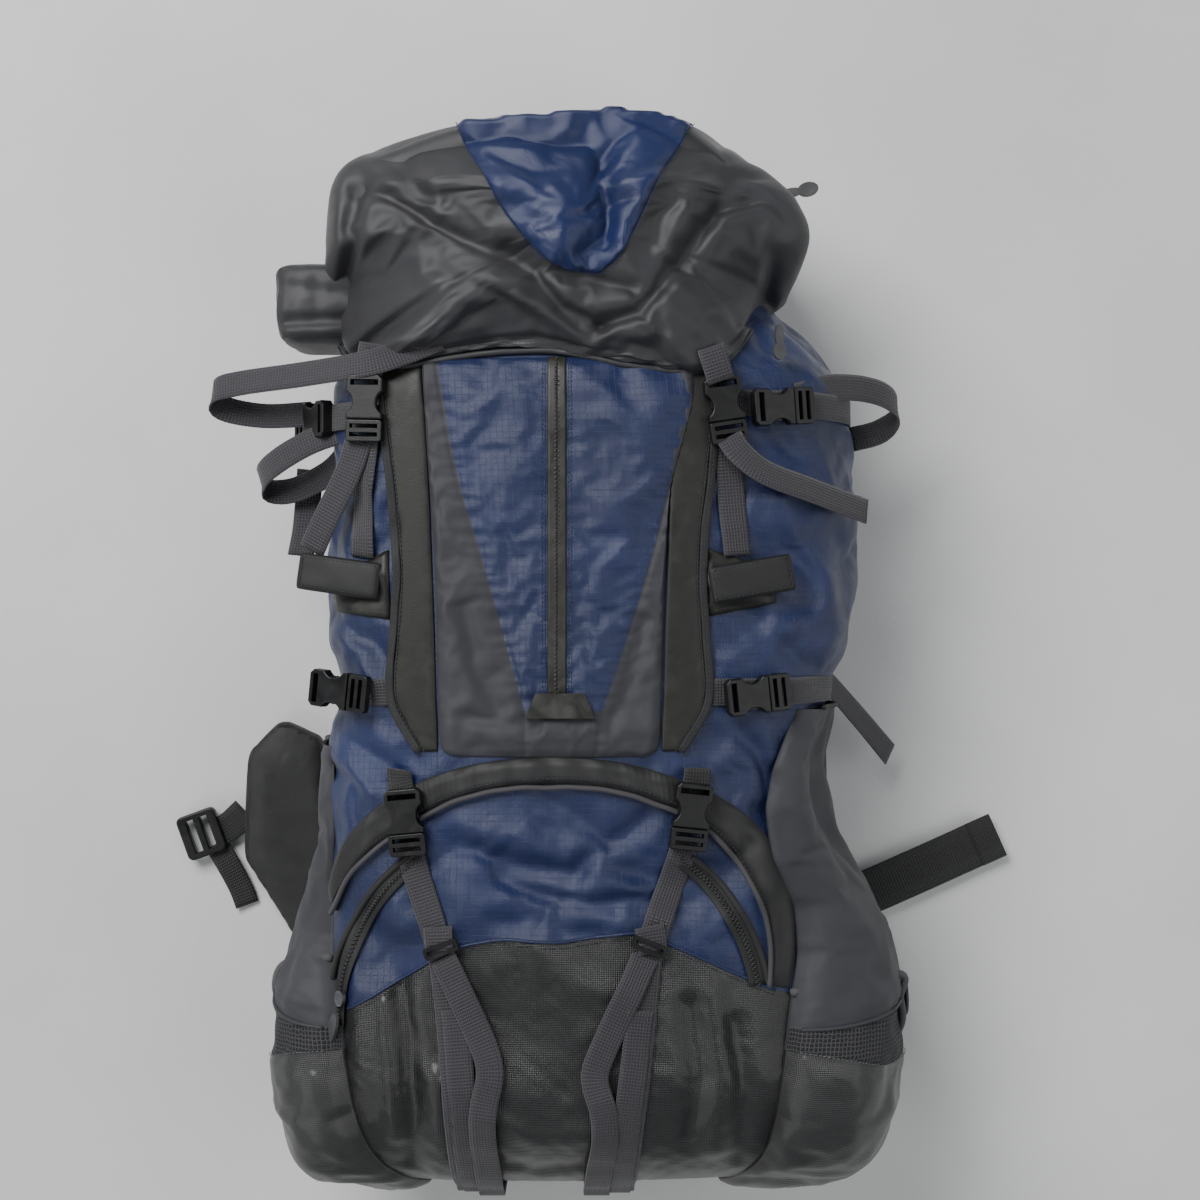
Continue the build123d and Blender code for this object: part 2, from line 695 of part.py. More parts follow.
strap_outline = [(28, 258), (66, 262), (116, 150), (108, 0), (90, -118), (58, -118), (60, 0),
                 (62, 120)]
with BuildPart() as shoulder_straps:
    for side in (-1, 1):
        add(padded_outline([(back_x + side * x, y) for x, y in strap_outline], 0,
                           strap_pad_t, 12, 4))
keep("shoulder_straps", shoulder_straps.part)
pad_low = strap_pad_t + pad_gap
with BuildPart() as back_pads:
    for side in (-1, 1):
        outline = [(back_x + side * x, y) for x, y in
                   ((24, -206), (100, -206), (94, 150), (30, 150))]
        add(padded_outline(outline, pad_low, back_z - pad_low, 16, 4))
keep("back_pads", back_pads.part)
with BuildPart() as lumbar:
    with BuildSketch(Plane.XY):
        with Locations((back_x, lumbar_y)):
            RectangleRounded(lumbar_w, lumbar_l, 24)
    extrude(amount=back_z)
    fillet(lumbar.faces().sort_by(Axis.Z)[0].edges(), 8)
keep("lumbar_pad", lumbar.part)

wing_reach = {
    # steps out from the middle of the back, and y
    "left": [(152, -334), (234, -268), (294, -172), (292, -84), (264, -56), (230, -70),
             (216, -136), (184, -206), (140, -250)],
    "right": [(152, -334), (216, -280), (236, -214), (222, -180), (186, -190), (140, -250)],
}
pivots = []
for side, word in ((-1, "left"), (1, "right")):
    pivot = (back_x + side * pivot_x, pivot_y)
    pivots.append(pivot)
    with BuildPart() as wing:
        with BuildSketch(Plane.XY.offset(wing_low)):
            with BuildLine():
                Polyline(*[(back_x + side * x, y) for x, y in wing_reach[word]], close=True)
            shape = make_face()
            fillet(shape.vertices(), 8)
            with Locations(pivot):
                Circle(44)
        extrude(amount=wing_t)
        fillet(wing.faces().sort_by(Axis.Z)[-1].edges(), 5)
        with Locations((pivot[0], pivot[1], wing_low + wing_t)):
            Hole(pivot_r + pivot_gap)
    keep(word + "_hip_wing", wing.part)
with BuildPart() as belt_pivots:
    with BuildSketch(Plane.XY.offset(wing_low + 4)):
        with Locations(*pivots):
            Circle(pivot_r)
    extrude(amount=back_z - wing_low - 4)
    with BuildSketch(Plane.XY.offset(wing_low + wing_t + pivot_gap)):
        with Locations(*pivots):
            Circle(13)
    extrude(amount=back_z - wing_low - wing_t - pivot_gap)
keep("belt_pivots", belt_pivots.part)


def floor_webbing(points, width, low, thickness):
    """A strap that lies flat along a route in plan."""
    with BuildPart() as strap:
        with BuildSketch(Plane.XY.offset(low)):
            with BuildLine():
                Polyline(*ribbon_outline(points, width), close=True)
            make_face()
        extrude(amount=thickness)
    return strap.part


hip_webbing_w = 38.0
belt_z = 8.0
with BuildPart() as left_webbing:
    add(floor_webbing([(back_x - 304, -136), (back_x - 310, -139)], 30, belt_z, 2))
    add(floor_webbing([(back_x - 322, -172), (back_x - 314, -190), (back_x - 300, -210)],
                      webbing_w, 3, 2))
keep("left_hip_webbing", left_webbing.part)
keep("right_hip_webbing", floor_webbing(
    [(back_x + 245, -193), (back_x + 276, -180), (back_x + 340, -154)], hip_webbing_w, belt_z, 2))
with BuildPart() as hip_buckle:
    with BuildSketch(Plane((back_x - 331, -151, 6), x_dir=(-0.94, -0.34, 0))):
        RectangleRounded(34, 38, 5)
        with Locations((-6, 0), (6, 0)):
            Rectangle(6, 28, mode=Mode.SUBTRACT)
    extrude(amount=9)
    fillet(hip_buckle.faces().group_by(SortBy.AREA)[-1].edges().group_by(SortBy.LENGTH)[-1], 1.5)
keep("hip_buckle", hip_buckle.part)

# ---- frame inside the bag ----
sheet_low = back_top + 0.3
sheet_l = top_y - base_y - 164
with BuildPart() as frame_sheet:
    with BuildSketch(Plane.XY.offset(sheet_low)):
        with Locations((back_x, (top_y + base_y) / 2)):
            RectangleRounded(272, sheet_l, 40)
    extrude(amount=2)
keep("frame_sheet", frame_sheet.part)
with BuildPart() as stays:
    with BuildSketch(Plane.XY.offset(sheet_low + 2)):
        with Locations((back_x - 55, (top_y + base_y) / 2), (back_x + 55, (top_y + base_y) / 2)):
            RectangleRounded(25, sheet_l - 20, 6)
    extrude(amount=3)
keep("frame_stays", stays.part)

with BuildPart() as haul_loop:
    with BuildSketch(Plane.XY.offset(pad_low)):
        with BuildLine():
            outer = ThreePointArc((back_x - 26, 266), (back_x, 308), (back_x + 26, 266))
            Line(outer @ 1, (back_x + 22, 266))
            inner = ThreePointArc((back_x + 22, 266), (back_x, 304), (back_x - 22, 266))
            Line(inner @ 1, outer @ 0)
        make_face()
    extrude(amount=back_z - pad_low)
keep("haul_loop", haul_loop.part)

os.makedirs("parts", exist_ok=True)
for name, part in nodes.items():
    export_step(part, "parts/" + name + ".step")
print(len(nodes), "nodes")
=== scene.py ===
"""Looks of the hiking backpack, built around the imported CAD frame. Metres; the pack lies on its harness."""

import math

import bpy
import numpy as np
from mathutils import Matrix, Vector, noise
from mathutils.bvhtree import BVHTree


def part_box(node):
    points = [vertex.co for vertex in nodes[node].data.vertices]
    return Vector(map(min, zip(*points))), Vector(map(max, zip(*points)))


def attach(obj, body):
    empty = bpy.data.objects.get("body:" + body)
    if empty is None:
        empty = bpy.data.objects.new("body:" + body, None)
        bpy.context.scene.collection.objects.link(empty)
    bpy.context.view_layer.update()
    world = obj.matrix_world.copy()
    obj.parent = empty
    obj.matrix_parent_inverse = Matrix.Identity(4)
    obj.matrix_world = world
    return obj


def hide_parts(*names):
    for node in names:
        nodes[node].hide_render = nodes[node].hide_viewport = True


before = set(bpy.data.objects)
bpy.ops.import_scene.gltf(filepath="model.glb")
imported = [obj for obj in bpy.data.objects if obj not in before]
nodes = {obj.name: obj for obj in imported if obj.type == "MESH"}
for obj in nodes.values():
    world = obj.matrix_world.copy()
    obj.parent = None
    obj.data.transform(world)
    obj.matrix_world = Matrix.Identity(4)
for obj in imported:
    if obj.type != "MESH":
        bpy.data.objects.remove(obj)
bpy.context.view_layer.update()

# ---------------------------------------------------------------- driving sizes, from the CAD boxes
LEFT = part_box("left_side_panel")[0].x
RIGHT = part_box("right_side_panel")[1].x
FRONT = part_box("front_panel")[1].z
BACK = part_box("back_panel")[0].z
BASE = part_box("base_panel")[0].y
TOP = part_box("collar")[1].y + 0.003
LID_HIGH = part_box("lid_shell")[1]
FRONT_X = -0.030          # centre line of the crowned front
CROWN_R = 0.700
LEFT_R = 0.048
RIGHT_R = 0.092
BACK_R = 0.034
BASE_R = 0.112
PLAN_R = 0.052
SHOULDER_Y = 0.196
COLLAR_Y = 0.290
COLLAR_HALF = 0.136
COLLAR_DROP = 0.032
ARCH_Y = -0.262
ARCH_R = 0.154
ZIP_X = -0.0245
WEB = 0.020               # webbing width


# ---------------------------------------------------------------- small maths
def smooth(low, high, x):
    t = np.clip((x - low) / (high - low), 0.0, 1.0)
    return t * t * (3.0 - 2.0 * t)


def hill(x, centre, width):
    return np.exp(-((x - centre) / width) ** 2)


def mm(*points):
    return [tuple(0.001 * v for v in p) for p in points]


def spread(points, count):
    """Even points along a smooth curve through the given ones."""
    p = np.array(points, float)
    if len(p) > 2:
        ends = np.vstack([2 * p[0] - p[1], p, 2 * p[-1] - p[-2]])
        fine = []
        for i in range(1, len(ends) - 2):
            for t in np.linspace(0, 1, 12, endpoint=False):
                a, b, c, d = ends[i - 1:i + 3]
                fine.append(0.5 * (2 * b + (c - a) * t + (2 * a - 5 * b + 4 * c - d) * t * t
                                   + (3 * b - a - 3 * c + d) * t ** 3))
        p = np.vstack([fine, p[-1]])
    run = np.concatenate([[0.0], np.cumsum(np.linalg.norm(np.diff(p, axis=0), axis=1))])
    at = np.linspace(0.0, run[-1], count)
    return np.stack([np.interp(at, run, p[:, k]) for k in range(p.shape[1])], axis=1)


def run_length(points):
    p = np.array(points, float)
    return float(np.linalg.norm(np.diff(p, axis=0), axis=1).sum())


def distance_to(path, x, y):
    """Distance of each x, y from a polyline, in plan."""
    best = np.full(np.shape(x), 1e9)
    for (ax, ay), (bx, by) in zip(path[:-1], path[1:]):
        dx, dy = bx - ax, by - ay
        t = np.clip(((x - ax) * dx + (y - ay) * dy) / (dx * dx + dy * dy + 1e-12), 0, 1)
        best = np.minimum(best, np.hypot(x - ax - t * dx, y - ay - t * dy))
    return best


def wander(x, y, z, scale, seed=0.0, octaves=3):
    """Smooth noise between about -1 and 1."""
    return noise.fractal(Vector((x * scale + seed, y * scale - seed, z * scale)), 0.8, 2.0, octaves)


# ---------------------------------------------------------------- materials
class Shade:
    """A node material with a few short ways of adding nodes."""

    def __init__(self, name, roughness, **settings):
        self.material = bpy.data.materials.new(name)
        self.material.use_nodes = True
        self.tree = self.material.node_tree
        self.shader = self.tree.nodes["Principled BSDF"]
        self.shader.inputs["Roughness"].default_value = roughness
        for key, value in settings.items():
            self.shader.inputs[key.replace("_", " ")].default_value = value

    def add(self, kind, **settings):
        node = self.tree.nodes.new(kind)
        for key, value in settings.items():
            setattr(node, key, value)
        return node

    def link(self, source, target):
        self.tree.links.new(source, target)

    def coords(self, cloth=True):
        if cloth:
            return self.add("ShaderNodeAttribute", attribute_name="cloth").outputs["Vector"]
        return self.add("ShaderNodeTexCoord").outputs["Object"]

    def math(self, operation, a, b=None, clamp=False):
        node = self.add("ShaderNodeMath", operation=operation, use_clamp=clamp)
        for socket, value in zip(node.inputs, (a, b)):
            if value is None:
                continue
            if isinstance(value, (int, float)):
                socket.default_value = value
            else:
                self.link(value, socket)
        return node.outputs[0]

    def split(self, vector):
        node = self.add("ShaderNodeSeparateXYZ")
        self.link(vector, node.inputs[0])
        return node.outputs

    def noise(self, vector, scale, detail=3.0, distortion=0.0, kind="FBM"):
        node = self.add("ShaderNodeTexNoise", noise_type=kind)
        self.link(vector, node.inputs["Vector"])
        node.inputs["Scale"].default_value = scale
        node.inputs["Detail"].default_value = detail
        node.inputs["Distortion"].default_value = distortion
        return node.outputs["Fac"]

    def wave(self, socket, period, phase=0.0):
        """A sine along one coordinate, from -1 to 1."""
        return self.math("SINE", self.math("ADD", self.math("MULTIPLY", socket, 2 * math.pi / period), phase))

    def ramp(self, factor, stops):
        node = self.add("ShaderNodeValToRGB")
        self.link(factor, node.inputs[0])
        elements = node.color_ramp.elements
        elements[0].position, elements[0].color = stops[0][0], (*stops[0][1], 1)
        elements[1].position, elements[1].color = stops[-1][0], (*stops[-1][1], 1)
        for position, colour in stops[1:-1]:
            elements.new(position).color = (*colour, 1)
        return node.outputs["Color"]

    def levels(self, factor, low, high, to_low, to_high):
        node = self.add("ShaderNodeMapRange")
        self.link(factor, node.inputs["Value"])
        for key, value in (("From Min", low), ("From Max", high), ("To Min", to_low), ("To Max", to_high)):
            node.inputs[key].default_value = value
        return node.outputs["Result"]

    def mix(self, factor, a, b):
        node = self.add("ShaderNodeMix", data_type="RGBA")
        self.link(factor, node.inputs["Factor"])
        for key, value in (("A", a), ("B", b)):
            socket = [s for s in node.inputs if s.name == key and s.type == "RGBA"][0]
            if isinstance(value, tuple):
                socket.default_value = (*value, 1)
            else:
                self.link(value, socket)
        return [s for s in node.outputs if s.type == "RGBA"][0]

    def colour(self, socket):
        self.link(socket, self.shader.inputs["Base Color"])

    def rough(self, socket):
        self.link(socket, self.shader.inputs["Roughness"])

    def bumps(self, *layers):
        """Layers of (height socket, depth in metres), coarse first."""
        normal = None
        for height, depth in layers:
            node = self.add("ShaderNodeBump")
            node.inputs["Distance"].default_value = depth
            node.inputs["Strength"].default_value = 1.0
            self.link(height, node.inputs["Height"])
            if normal is not None:
                self.link(normal, node.inputs["Normal"])
            normal = node.outputs["Normal"]
        self.link(normal, self.shader.inputs["Normal"])


def shades(colour, *factors):
    return [tuple(c * f for c in colour) for f in factors]


def woven(name, colour, roughness, pitch=0.0011, grid=0.0, crumple=0.0016, sheen=0.25, faded=1.5, twill=0.0):
    """Woven nylon: threads, an optional ripstop grid or twill rib, creases and worn lighter patches."""
    s = Shade(name, roughness, Sheen_Weight=sheen, Sheen_Roughness=0.45, Specular_IOR_Level=0.5)
    at = s.coords()
    x, y, _ = s.split(at)
    cloudy = s.noise(at, 9.0, 5.0, 0.6)
    dark, base, light = shades(colour, 0.62, 1.0, faded)
    tone = s.ramp(cloudy, [(0.28, dark), (0.52, base), (0.8, light)])
    weave = s.math("MULTIPLY", s.wave(x, pitch), s.wave(y, pitch))
    if twill:
        weave = s.wave(s.math("ADD", x, y), twill)
    threads = s.levels(weave, -1.0, 1.0, 0.0, 1.0)
    fine = s.mix(threads, shades(colour, 0.72)[0], shades(colour, 1.25)[0])
    mixed = s.mix(s.levels(cloudy, 0.0, 1.0, 0.45, 0.65), fine, tone)
    layers = []
    if crumple:
        layers.append((s.noise(at, 26.0, 4.0, 1.4, "RIDGED_MULTIFRACTAL"), crumple))
        layers.append((s.noise(at, 70.0, 3.0, 0.5), crumple * 0.45))
    if grid:
        lines = s.math("MAXIMUM", s.wave(x, grid), s.wave(y, grid))
        ridge = s.levels(lines, 0.93, 1.0, 0.0, 1.0)
        mixed = s.mix(s.math("MULTIPLY", ridge, 0.22), mixed, shades(colour, 1.5)[0])
        layers.append((ridge, 0.00010))
    layers.append((threads, 0.00012))
    s.colour(mixed)
    s.rough(s.levels(s.noise(at, 40.0, 4.0), 0.3, 0.7, roughness - 0.07, roughness + 0.1))
    s.bumps(*layers)
    return s.material


def ribbed(name, colour, roughness=0.62):
    """Webbing: ribs along the length, a pebbled weave across it with its grooves painted dark as painted
    shade, and worn edges.
    """
    s = Shade(name, roughness, Sheen_Weight=0.15, Sheen_Roughness=0.5)
    at = s.coords()
    x, y, _ = s.split(at)
    ribs = s.math("MAXIMUM", s.wave(x, 0.0022), s.math("MULTIPLY", s.wave(y, 0.0024), 0.7))
    pebbles = s.levels(ribs, -0.7, 1.0, 0.0, 1.0)
    worn = s.noise(at, 60.0, 4.0)
    edge = s.levels(s.math("ABSOLUTE", x), 0.0065, 0.0105, 0.0, 0.8)
    # The weave's rib pattern is coloured from the same heights as its bump: the grooves are darkened as
    # painted shade, and the rib tops are lighter.
    dark, light, pale = shades(colour, 0.35, 1.35, 2.0)
    tone = s.mix(pebbles, dark, light)
    s.colour(s.mix(s.math("MULTIPLY", edge, worn, clamp=True), tone, pale))
    s.bumps((worn, 0.0004), (pebbles, 0.0006))
    return s.material


def moulded(name, colour, roughness, grain=0.00008, coat=0.0, cloth=False):
    """Moulded plastic or rubber with a fine texture, scuffs and paler wear."""
    s = Shade(name, roughness, Coat_Weight=coat, Coat_Roughness=0.25, Specular_IOR_Level=0.4)
    at = s.coords(cloth)
    scuffs = s.noise(at, 55.0, 8.0, 1.2)
    dark, light, pale = shades(colour, 0.8, 1.1, 1.9)
    s.colour(s.ramp(scuffs, [(0.35, dark), (0.55, light), (0.78, pale)]))
    s.rough(s.levels(scuffs, 0.3, 0.75, roughness - 0.08, roughness + 0.16))
    s.bumps((s.noise(at, 900.0, 2.0), grain), (s.noise(at, 160.0, 3.0), grain * 0.6))
    return s.material


def coated(name, colour, roughness):
    """Coated base fabric: fine raised diagonal ribs under a satin film, their tops painted paler as a painted
    sheen, with scuffs and soft creases.
    """
    s = Shade(name, roughness, Coat_Weight=0.35, Coat_Roughness=0.22, Specular_IOR_Level=0.55)
    at = s.coords()
    x, y, _ = s.split(at)
    ribs = s.levels(s.math("MULTIPLY", s.wave(s.math("ADD", x, y), 0.0026),
                           s.wave(s.math("SUBTRACT", x, y), 0.0026)),
                    -1.0, 1.0, 0.0, 1.0)
    dust = s.noise(at, 22.0, 6.0, 0.8)
    dark, base, pale = shades(colour, 0.7, 1.0, 2.3)
    # Rib tops are blended towards the pale tone: a painted sheen on the raised ribs, on top of the dust ramp.
    s.colour(s.mix(s.levels(ribs, 0.0, 1.0, 0.0, 0.25),
                   s.ramp(dust, [(0.25, dark), (0.6, base), (1.0, pale)]), pale))
    s.rough(s.levels(dust, 0.3, 0.8, roughness - 0.08, roughness + 0.2))
    s.bumps((s.noise(at, 9.0, 3.0, 0.8), 0.0010), (ribs, 0.00035))
    return s.material


def netting(name, colour):
    """Open mesh cloth: a hexagon-like net of cords over near-black holes, which are painted shade of the
    pocket's inside seen through them.
    """
    s = Shade(name, 0.75)
    at = s.coords()
    cells = s.add("ShaderNodeTexVoronoi", feature="DISTANCE_TO_EDGE")
    s.link(at, cells.inputs["Vector"])
    cells.inputs["Scale"].default_value = 330.0
    cells.inputs["Randomness"].default_value = 0.25
    cord = s.levels(cells.outputs["Distance"], 0.1, 0.28, 1.0, 0.0)
    # The holes are painted near black: painted shade standing in for the shaded inside of the pocket behind
    # the net.
    s.colour(s.mix(cord, shades(colour, 0.08)[0], shades(colour, 1.4)[0]))
    s.bumps((cord, 0.0012))
    return s.material


def metal(name, colour, roughness=0.35):
    s = Shade(name, roughness, Metallic=1.0)
    at = s.coords(False)
    wear = s.noise(at, 260.0, 6.0)
    s.colour(s.ramp(wear, [(0.3, shades(colour, 0.5)[0]), (0.6, colour), (0.85, shades(colour, 1.5)[0])]))
    s.bumps((s.noise(at, 900.0), 0.00005))
    return s.material


def ground(name):
    s = Shade(name, 0.85)
    at = s.coords(False)
    s.colour(s.ramp(s.noise(at, 3.0, 8.0), [(0.3, (0.60, 0.60, 0.59)), (0.7, (0.70, 0.70, 0.69))]))
    s.bumps((s.noise(at, 180.0, 4.0), 0.0003))
    return s.material


BLUE = woven("ripstop_blue", (0.0062, 0.0140, 0.060), 0.40, grid=0.0046, crumple=0.0013, sheen=0.06,
             faded=1.9)
LID_BLUE = woven("lid_blue", (0.0050, 0.0135, 0.066), 0.34, crumple=0.0016, sheen=0.06, faded=1.6)
GREY = woven("pack_grey", (0.024, 0.024, 0.027), 0.50, twill=0.0016, crumple=0.0015, sheen=0.06)
STRETCH = woven("stretch_grey", (0.028, 0.028, 0.034), 0.60, twill=0.0012, crumple=0.0008, sheen=0.06,
                faded=1.25)
DARK = woven("trim_black", (0.010, 0.010, 0.0105), 0.62, twill=0.0014, crumple=0.0010, sheen=0.05)
BINDING = woven("binding_tape", (0.013, 0.013, 0.0135), 0.7, twill=0.0012, crumple=0.0, sheen=0.05)
PIPING = woven("pocket_elastic", (0.060, 0.060, 0.063), 0.7, twill=0.0012, crumple=0.0, sheen=0.1)
FOAM = woven("harness_mesh", (0.012, 0.012, 0.0125), 0.75, pitch=0.0022, crumple=0.0006, sheen=0.2)
RUBBER = moulded("rail_rubber", (0.012, 0.012, 0.0102), 0.5, grain=0.00012, cloth=True)
COATED = coated("base_coated", (0.0036, 0.0036, 0.0036), 0.36)
CUP = coated("cup_coated", (0.0125, 0.0125, 0.0125), 0.42)
NET = netting("pocket_net", (0.03, 0.03, 0.032))
WEBBING = ribbed("webbing_grey", (0.026, 0.0245, 0.030))
BLACK_WEBBING = ribbed("webbing_black", (0.009, 0.009, 0.0095))
PLASTIC = moulded("buckle_plastic", (0.0045, 0.0045, 0.0048), 0.4)
PULL = moulded("pull_plastic", (0.050, 0.050, 0.052), 0.5)
GARAGE = moulded("garage_rubber", (0.024, 0.024, 0.021), 0.38)
COIL = moulded("zip_coil", (0.022, 0.022, 0.022), 0.4, cloth=False)
STITCH = moulded("thread_dark", (0.030, 0.031, 0.036), 0.75, cloth=False)
BLUE_STITCH = moulded("thread_blue", (0.016, 0.024, 0.070), 0.7, cloth=False)
PALE_STITCH = moulded("thread_grey", (0.105, 0.105, 0.11), 0.75, cloth=False)
METAL = metal("zip_metal", (0.30, 0.30, 0.31))
STAY = metal("stay_alloy", (0.55, 0.56, 0.57), 0.4)
FRAME = moulded("frame_sheet_plastic", (0.03, 0.03, 0.032), 0.45)
LINING = woven("divider_lining", (0.10, 0.10, 0.11), 0.6, crumple=0.001)


# ---------------------------------------------------------------- mesh helpers
def make(name, vertices, faces, materials, body="pack", cloth=None, picks=None, ride=True):
    """A smooth mesh piece. cloth holds a metric point per vertex for the weave, picks a material per face."""
    mesh = bpy.data.meshes.new(name)
    mesh.from_pydata([tuple(map(float, v)) for v in vertices], [], [tuple(map(int, f)) for f in faces])
    for shade in materials:
        mesh.materials.append(shade)
    if picks is not None:
        mesh.polygons.foreach_set("material_index", np.array(picks, dtype=np.int32))
    mesh.polygons.foreach_set("use_smooth", [True] * len(mesh.polygons))
    if cloth is None:
        cloth = vertices
    attribute = mesh.attributes.new("cloth", "FLOAT_VECTOR", "POINT")
    flat = np.zeros((len(vertices), 3), np.float32)
    cloth = np.array(cloth, np.float32)
    flat[:, :cloth.shape[1]] = cloth
    attribute.data.foreach_set("vector", flat.ravel())
    mesh.validate()
    mesh.update()
    piece = bpy.data.objects.new(name, mesh)
    bpy.context.scene.collection.objects.link(piece)
    if ride:
        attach(piece, body)
    return piece


def rounder(piece, levels=1):
    """Live subdivision, for a soft surface without facets."""
    modifier = piece.modifiers.new("round", "SUBSURF")
    modifier.levels = levels
    modifier.render_levels = levels
    return piece


def read_points(mesh):
    flat = np.zeros(len(mesh.vertices) * 3)
    mesh.vertices.foreach_get("co", flat)
    return flat.reshape(-1, 3)


def settle(piece, pins, growth=0.02, pressure=0.0, frames=16, cap=0.010, bend=0.6, stiff=18.0):
    """Lets the cloth grow and swell under pressure with pinned seams, then keeps the result."""
    before = read_points(piece.data)
    group = piece.vertex_groups.new(name="pins")
    for index, weight in enumerate(pins):
        if weight > 0.0:
            group.add([index], float(weight), "REPLACE")
    modifier = piece.modifiers.new("cloth", "CLOTH")
    cloth = modifier.settings
    cloth.quality = 4
    cloth.mass = 0.2
    cloth.tension_stiffness = stiff
    cloth.compression_stiffness = stiff
    cloth.shear_stiffness = stiff * 0.5
    cloth.bending_stiffness = bend
    cloth.effector_weights.gravity = 0.0
    cloth.vertex_group_mass = "pins"
    cloth.shrink_min = -growth
    cloth.use_pressure = pressure > 0.0
    cloth.uniform_pressure_force = pressure
    modifier.collision_settings.use_collision = False
    modifier.point_cache.frame_start = 1
    modifier.point_cache.frame_end = frames
    scene = bpy.context.scene
    for step in range(1, frames + 1):
        scene.frame_set(step)
    shown = piece.evaluated_get(bpy.context.evaluated_depsgraph_get())
    after = read_points(shown.data)
    piece.modifiers.remove(modifier)
    scene.frame_set(1)
    move = after - before
    size = np.linalg.norm(move, axis=1, keepdims=True)
    move *= np.minimum(1.0, cap / np.maximum(size, 1e-9))
    piece.data.vertices.foreach_set("co", (before + move).ravel())
    piece.data.update()
    piece.vertex_groups.clear()
    return piece


def grid_faces(rows, columns, closed=False, offset=0):
    faces = []
    last = columns if closed else columns - 1
    for i in range(rows - 1):
        for j in range(last):
            k = (j + 1) % columns
            faces.append((offset + i * columns + j, offset + i * columns + k,
                          offset + (i + 1) * columns + k, offset + (i + 1) * columns + j))
    return faces


def tree_of(piece):
    points = read_points(piece.data)
    return BVHTree.FromPolygons([tuple(p) for p in points], [tuple(f.vertices) for f in piece.data.polygons])


# ---------------------------------------------------------------- the bag's form
EDGE = BASE + 0.201       # where blue meets the coated base, at the middle
MIDDLE = 0.5 * (LEFT + RIGHT)
HALF = 0.5 * (RIGHT - LEFT)


def arc(cx, cz, radius, start, end, count):
    turn = np.radians(np.linspace(start, end, count, endpoint=False))
    return np.stack([cx + radius * np.cos(turn), cz + radius * np.sin(turn)], axis=1)


def line(x0, z0, x1, z1, count):
    return np.linspace((x0, z0), (x1, z1), count, endpoint=False)


def full_section():
    """The widest section as x, z points, from the middle of the back out to the right and round."""
    crown_z = FRONT - CROWN_R
    right_x = RIGHT - RIGHT_R
    right_z = crown_z + math.sqrt((CROWN_R - RIGHT_R) ** 2 - (right_x - FRONT_X) ** 2)
    right_turn = math.degrees(math.atan2(right_z - crown_z, right_x - FRONT_X))
    left_x = LEFT + LEFT_R
    left_z = crown_z + math.sqrt((CROWN_R - LEFT_R) ** 2 - (left_x - FRONT_X) ** 2)
    left_turn = math.degrees(math.atan2(left_z - crown_z, left_x - FRONT_X))
    return np.vstack([
        line(MIDDLE, BACK, RIGHT - BACK_R, BACK, 12),
        arc(RIGHT - BACK_R, BACK + BACK_R, BACK_R, -90, 0, 8),
        line(RIGHT, BACK + BACK_R, RIGHT, right_z, 12),
        arc(right_x, right_z, RIGHT_R, 0, right_turn, 24),
        arc(FRONT_X, crown_z, CROWN_R, right_turn, left_turn, 52),
        arc(left_x, left_z, LEFT_R, left_turn, 180, 14),
        line(LEFT, left_z, LEFT, BACK + BACK_R, 20),
        arc(LEFT + BACK_R, BACK + BACK_R, BACK_R, 180, 270, 8),
        line(LEFT + BACK_R, BACK, MIDDLE, BACK, 12)])


SECTION = full_section()
COLUMNS = len(SECTION)
CROWN_START = 12 + 8 + 12
CROWN_END = CROWN_START + 24 + 52 + 14

# Compression bands: side of the bag, y, and the x where each leaves the rail.
SIDE_BANDS = [(-1, 0.181, -0.152), (1, 0.190, 0.092), (-1, -0.021, -0.146), (1, -0.021, 0.086)]

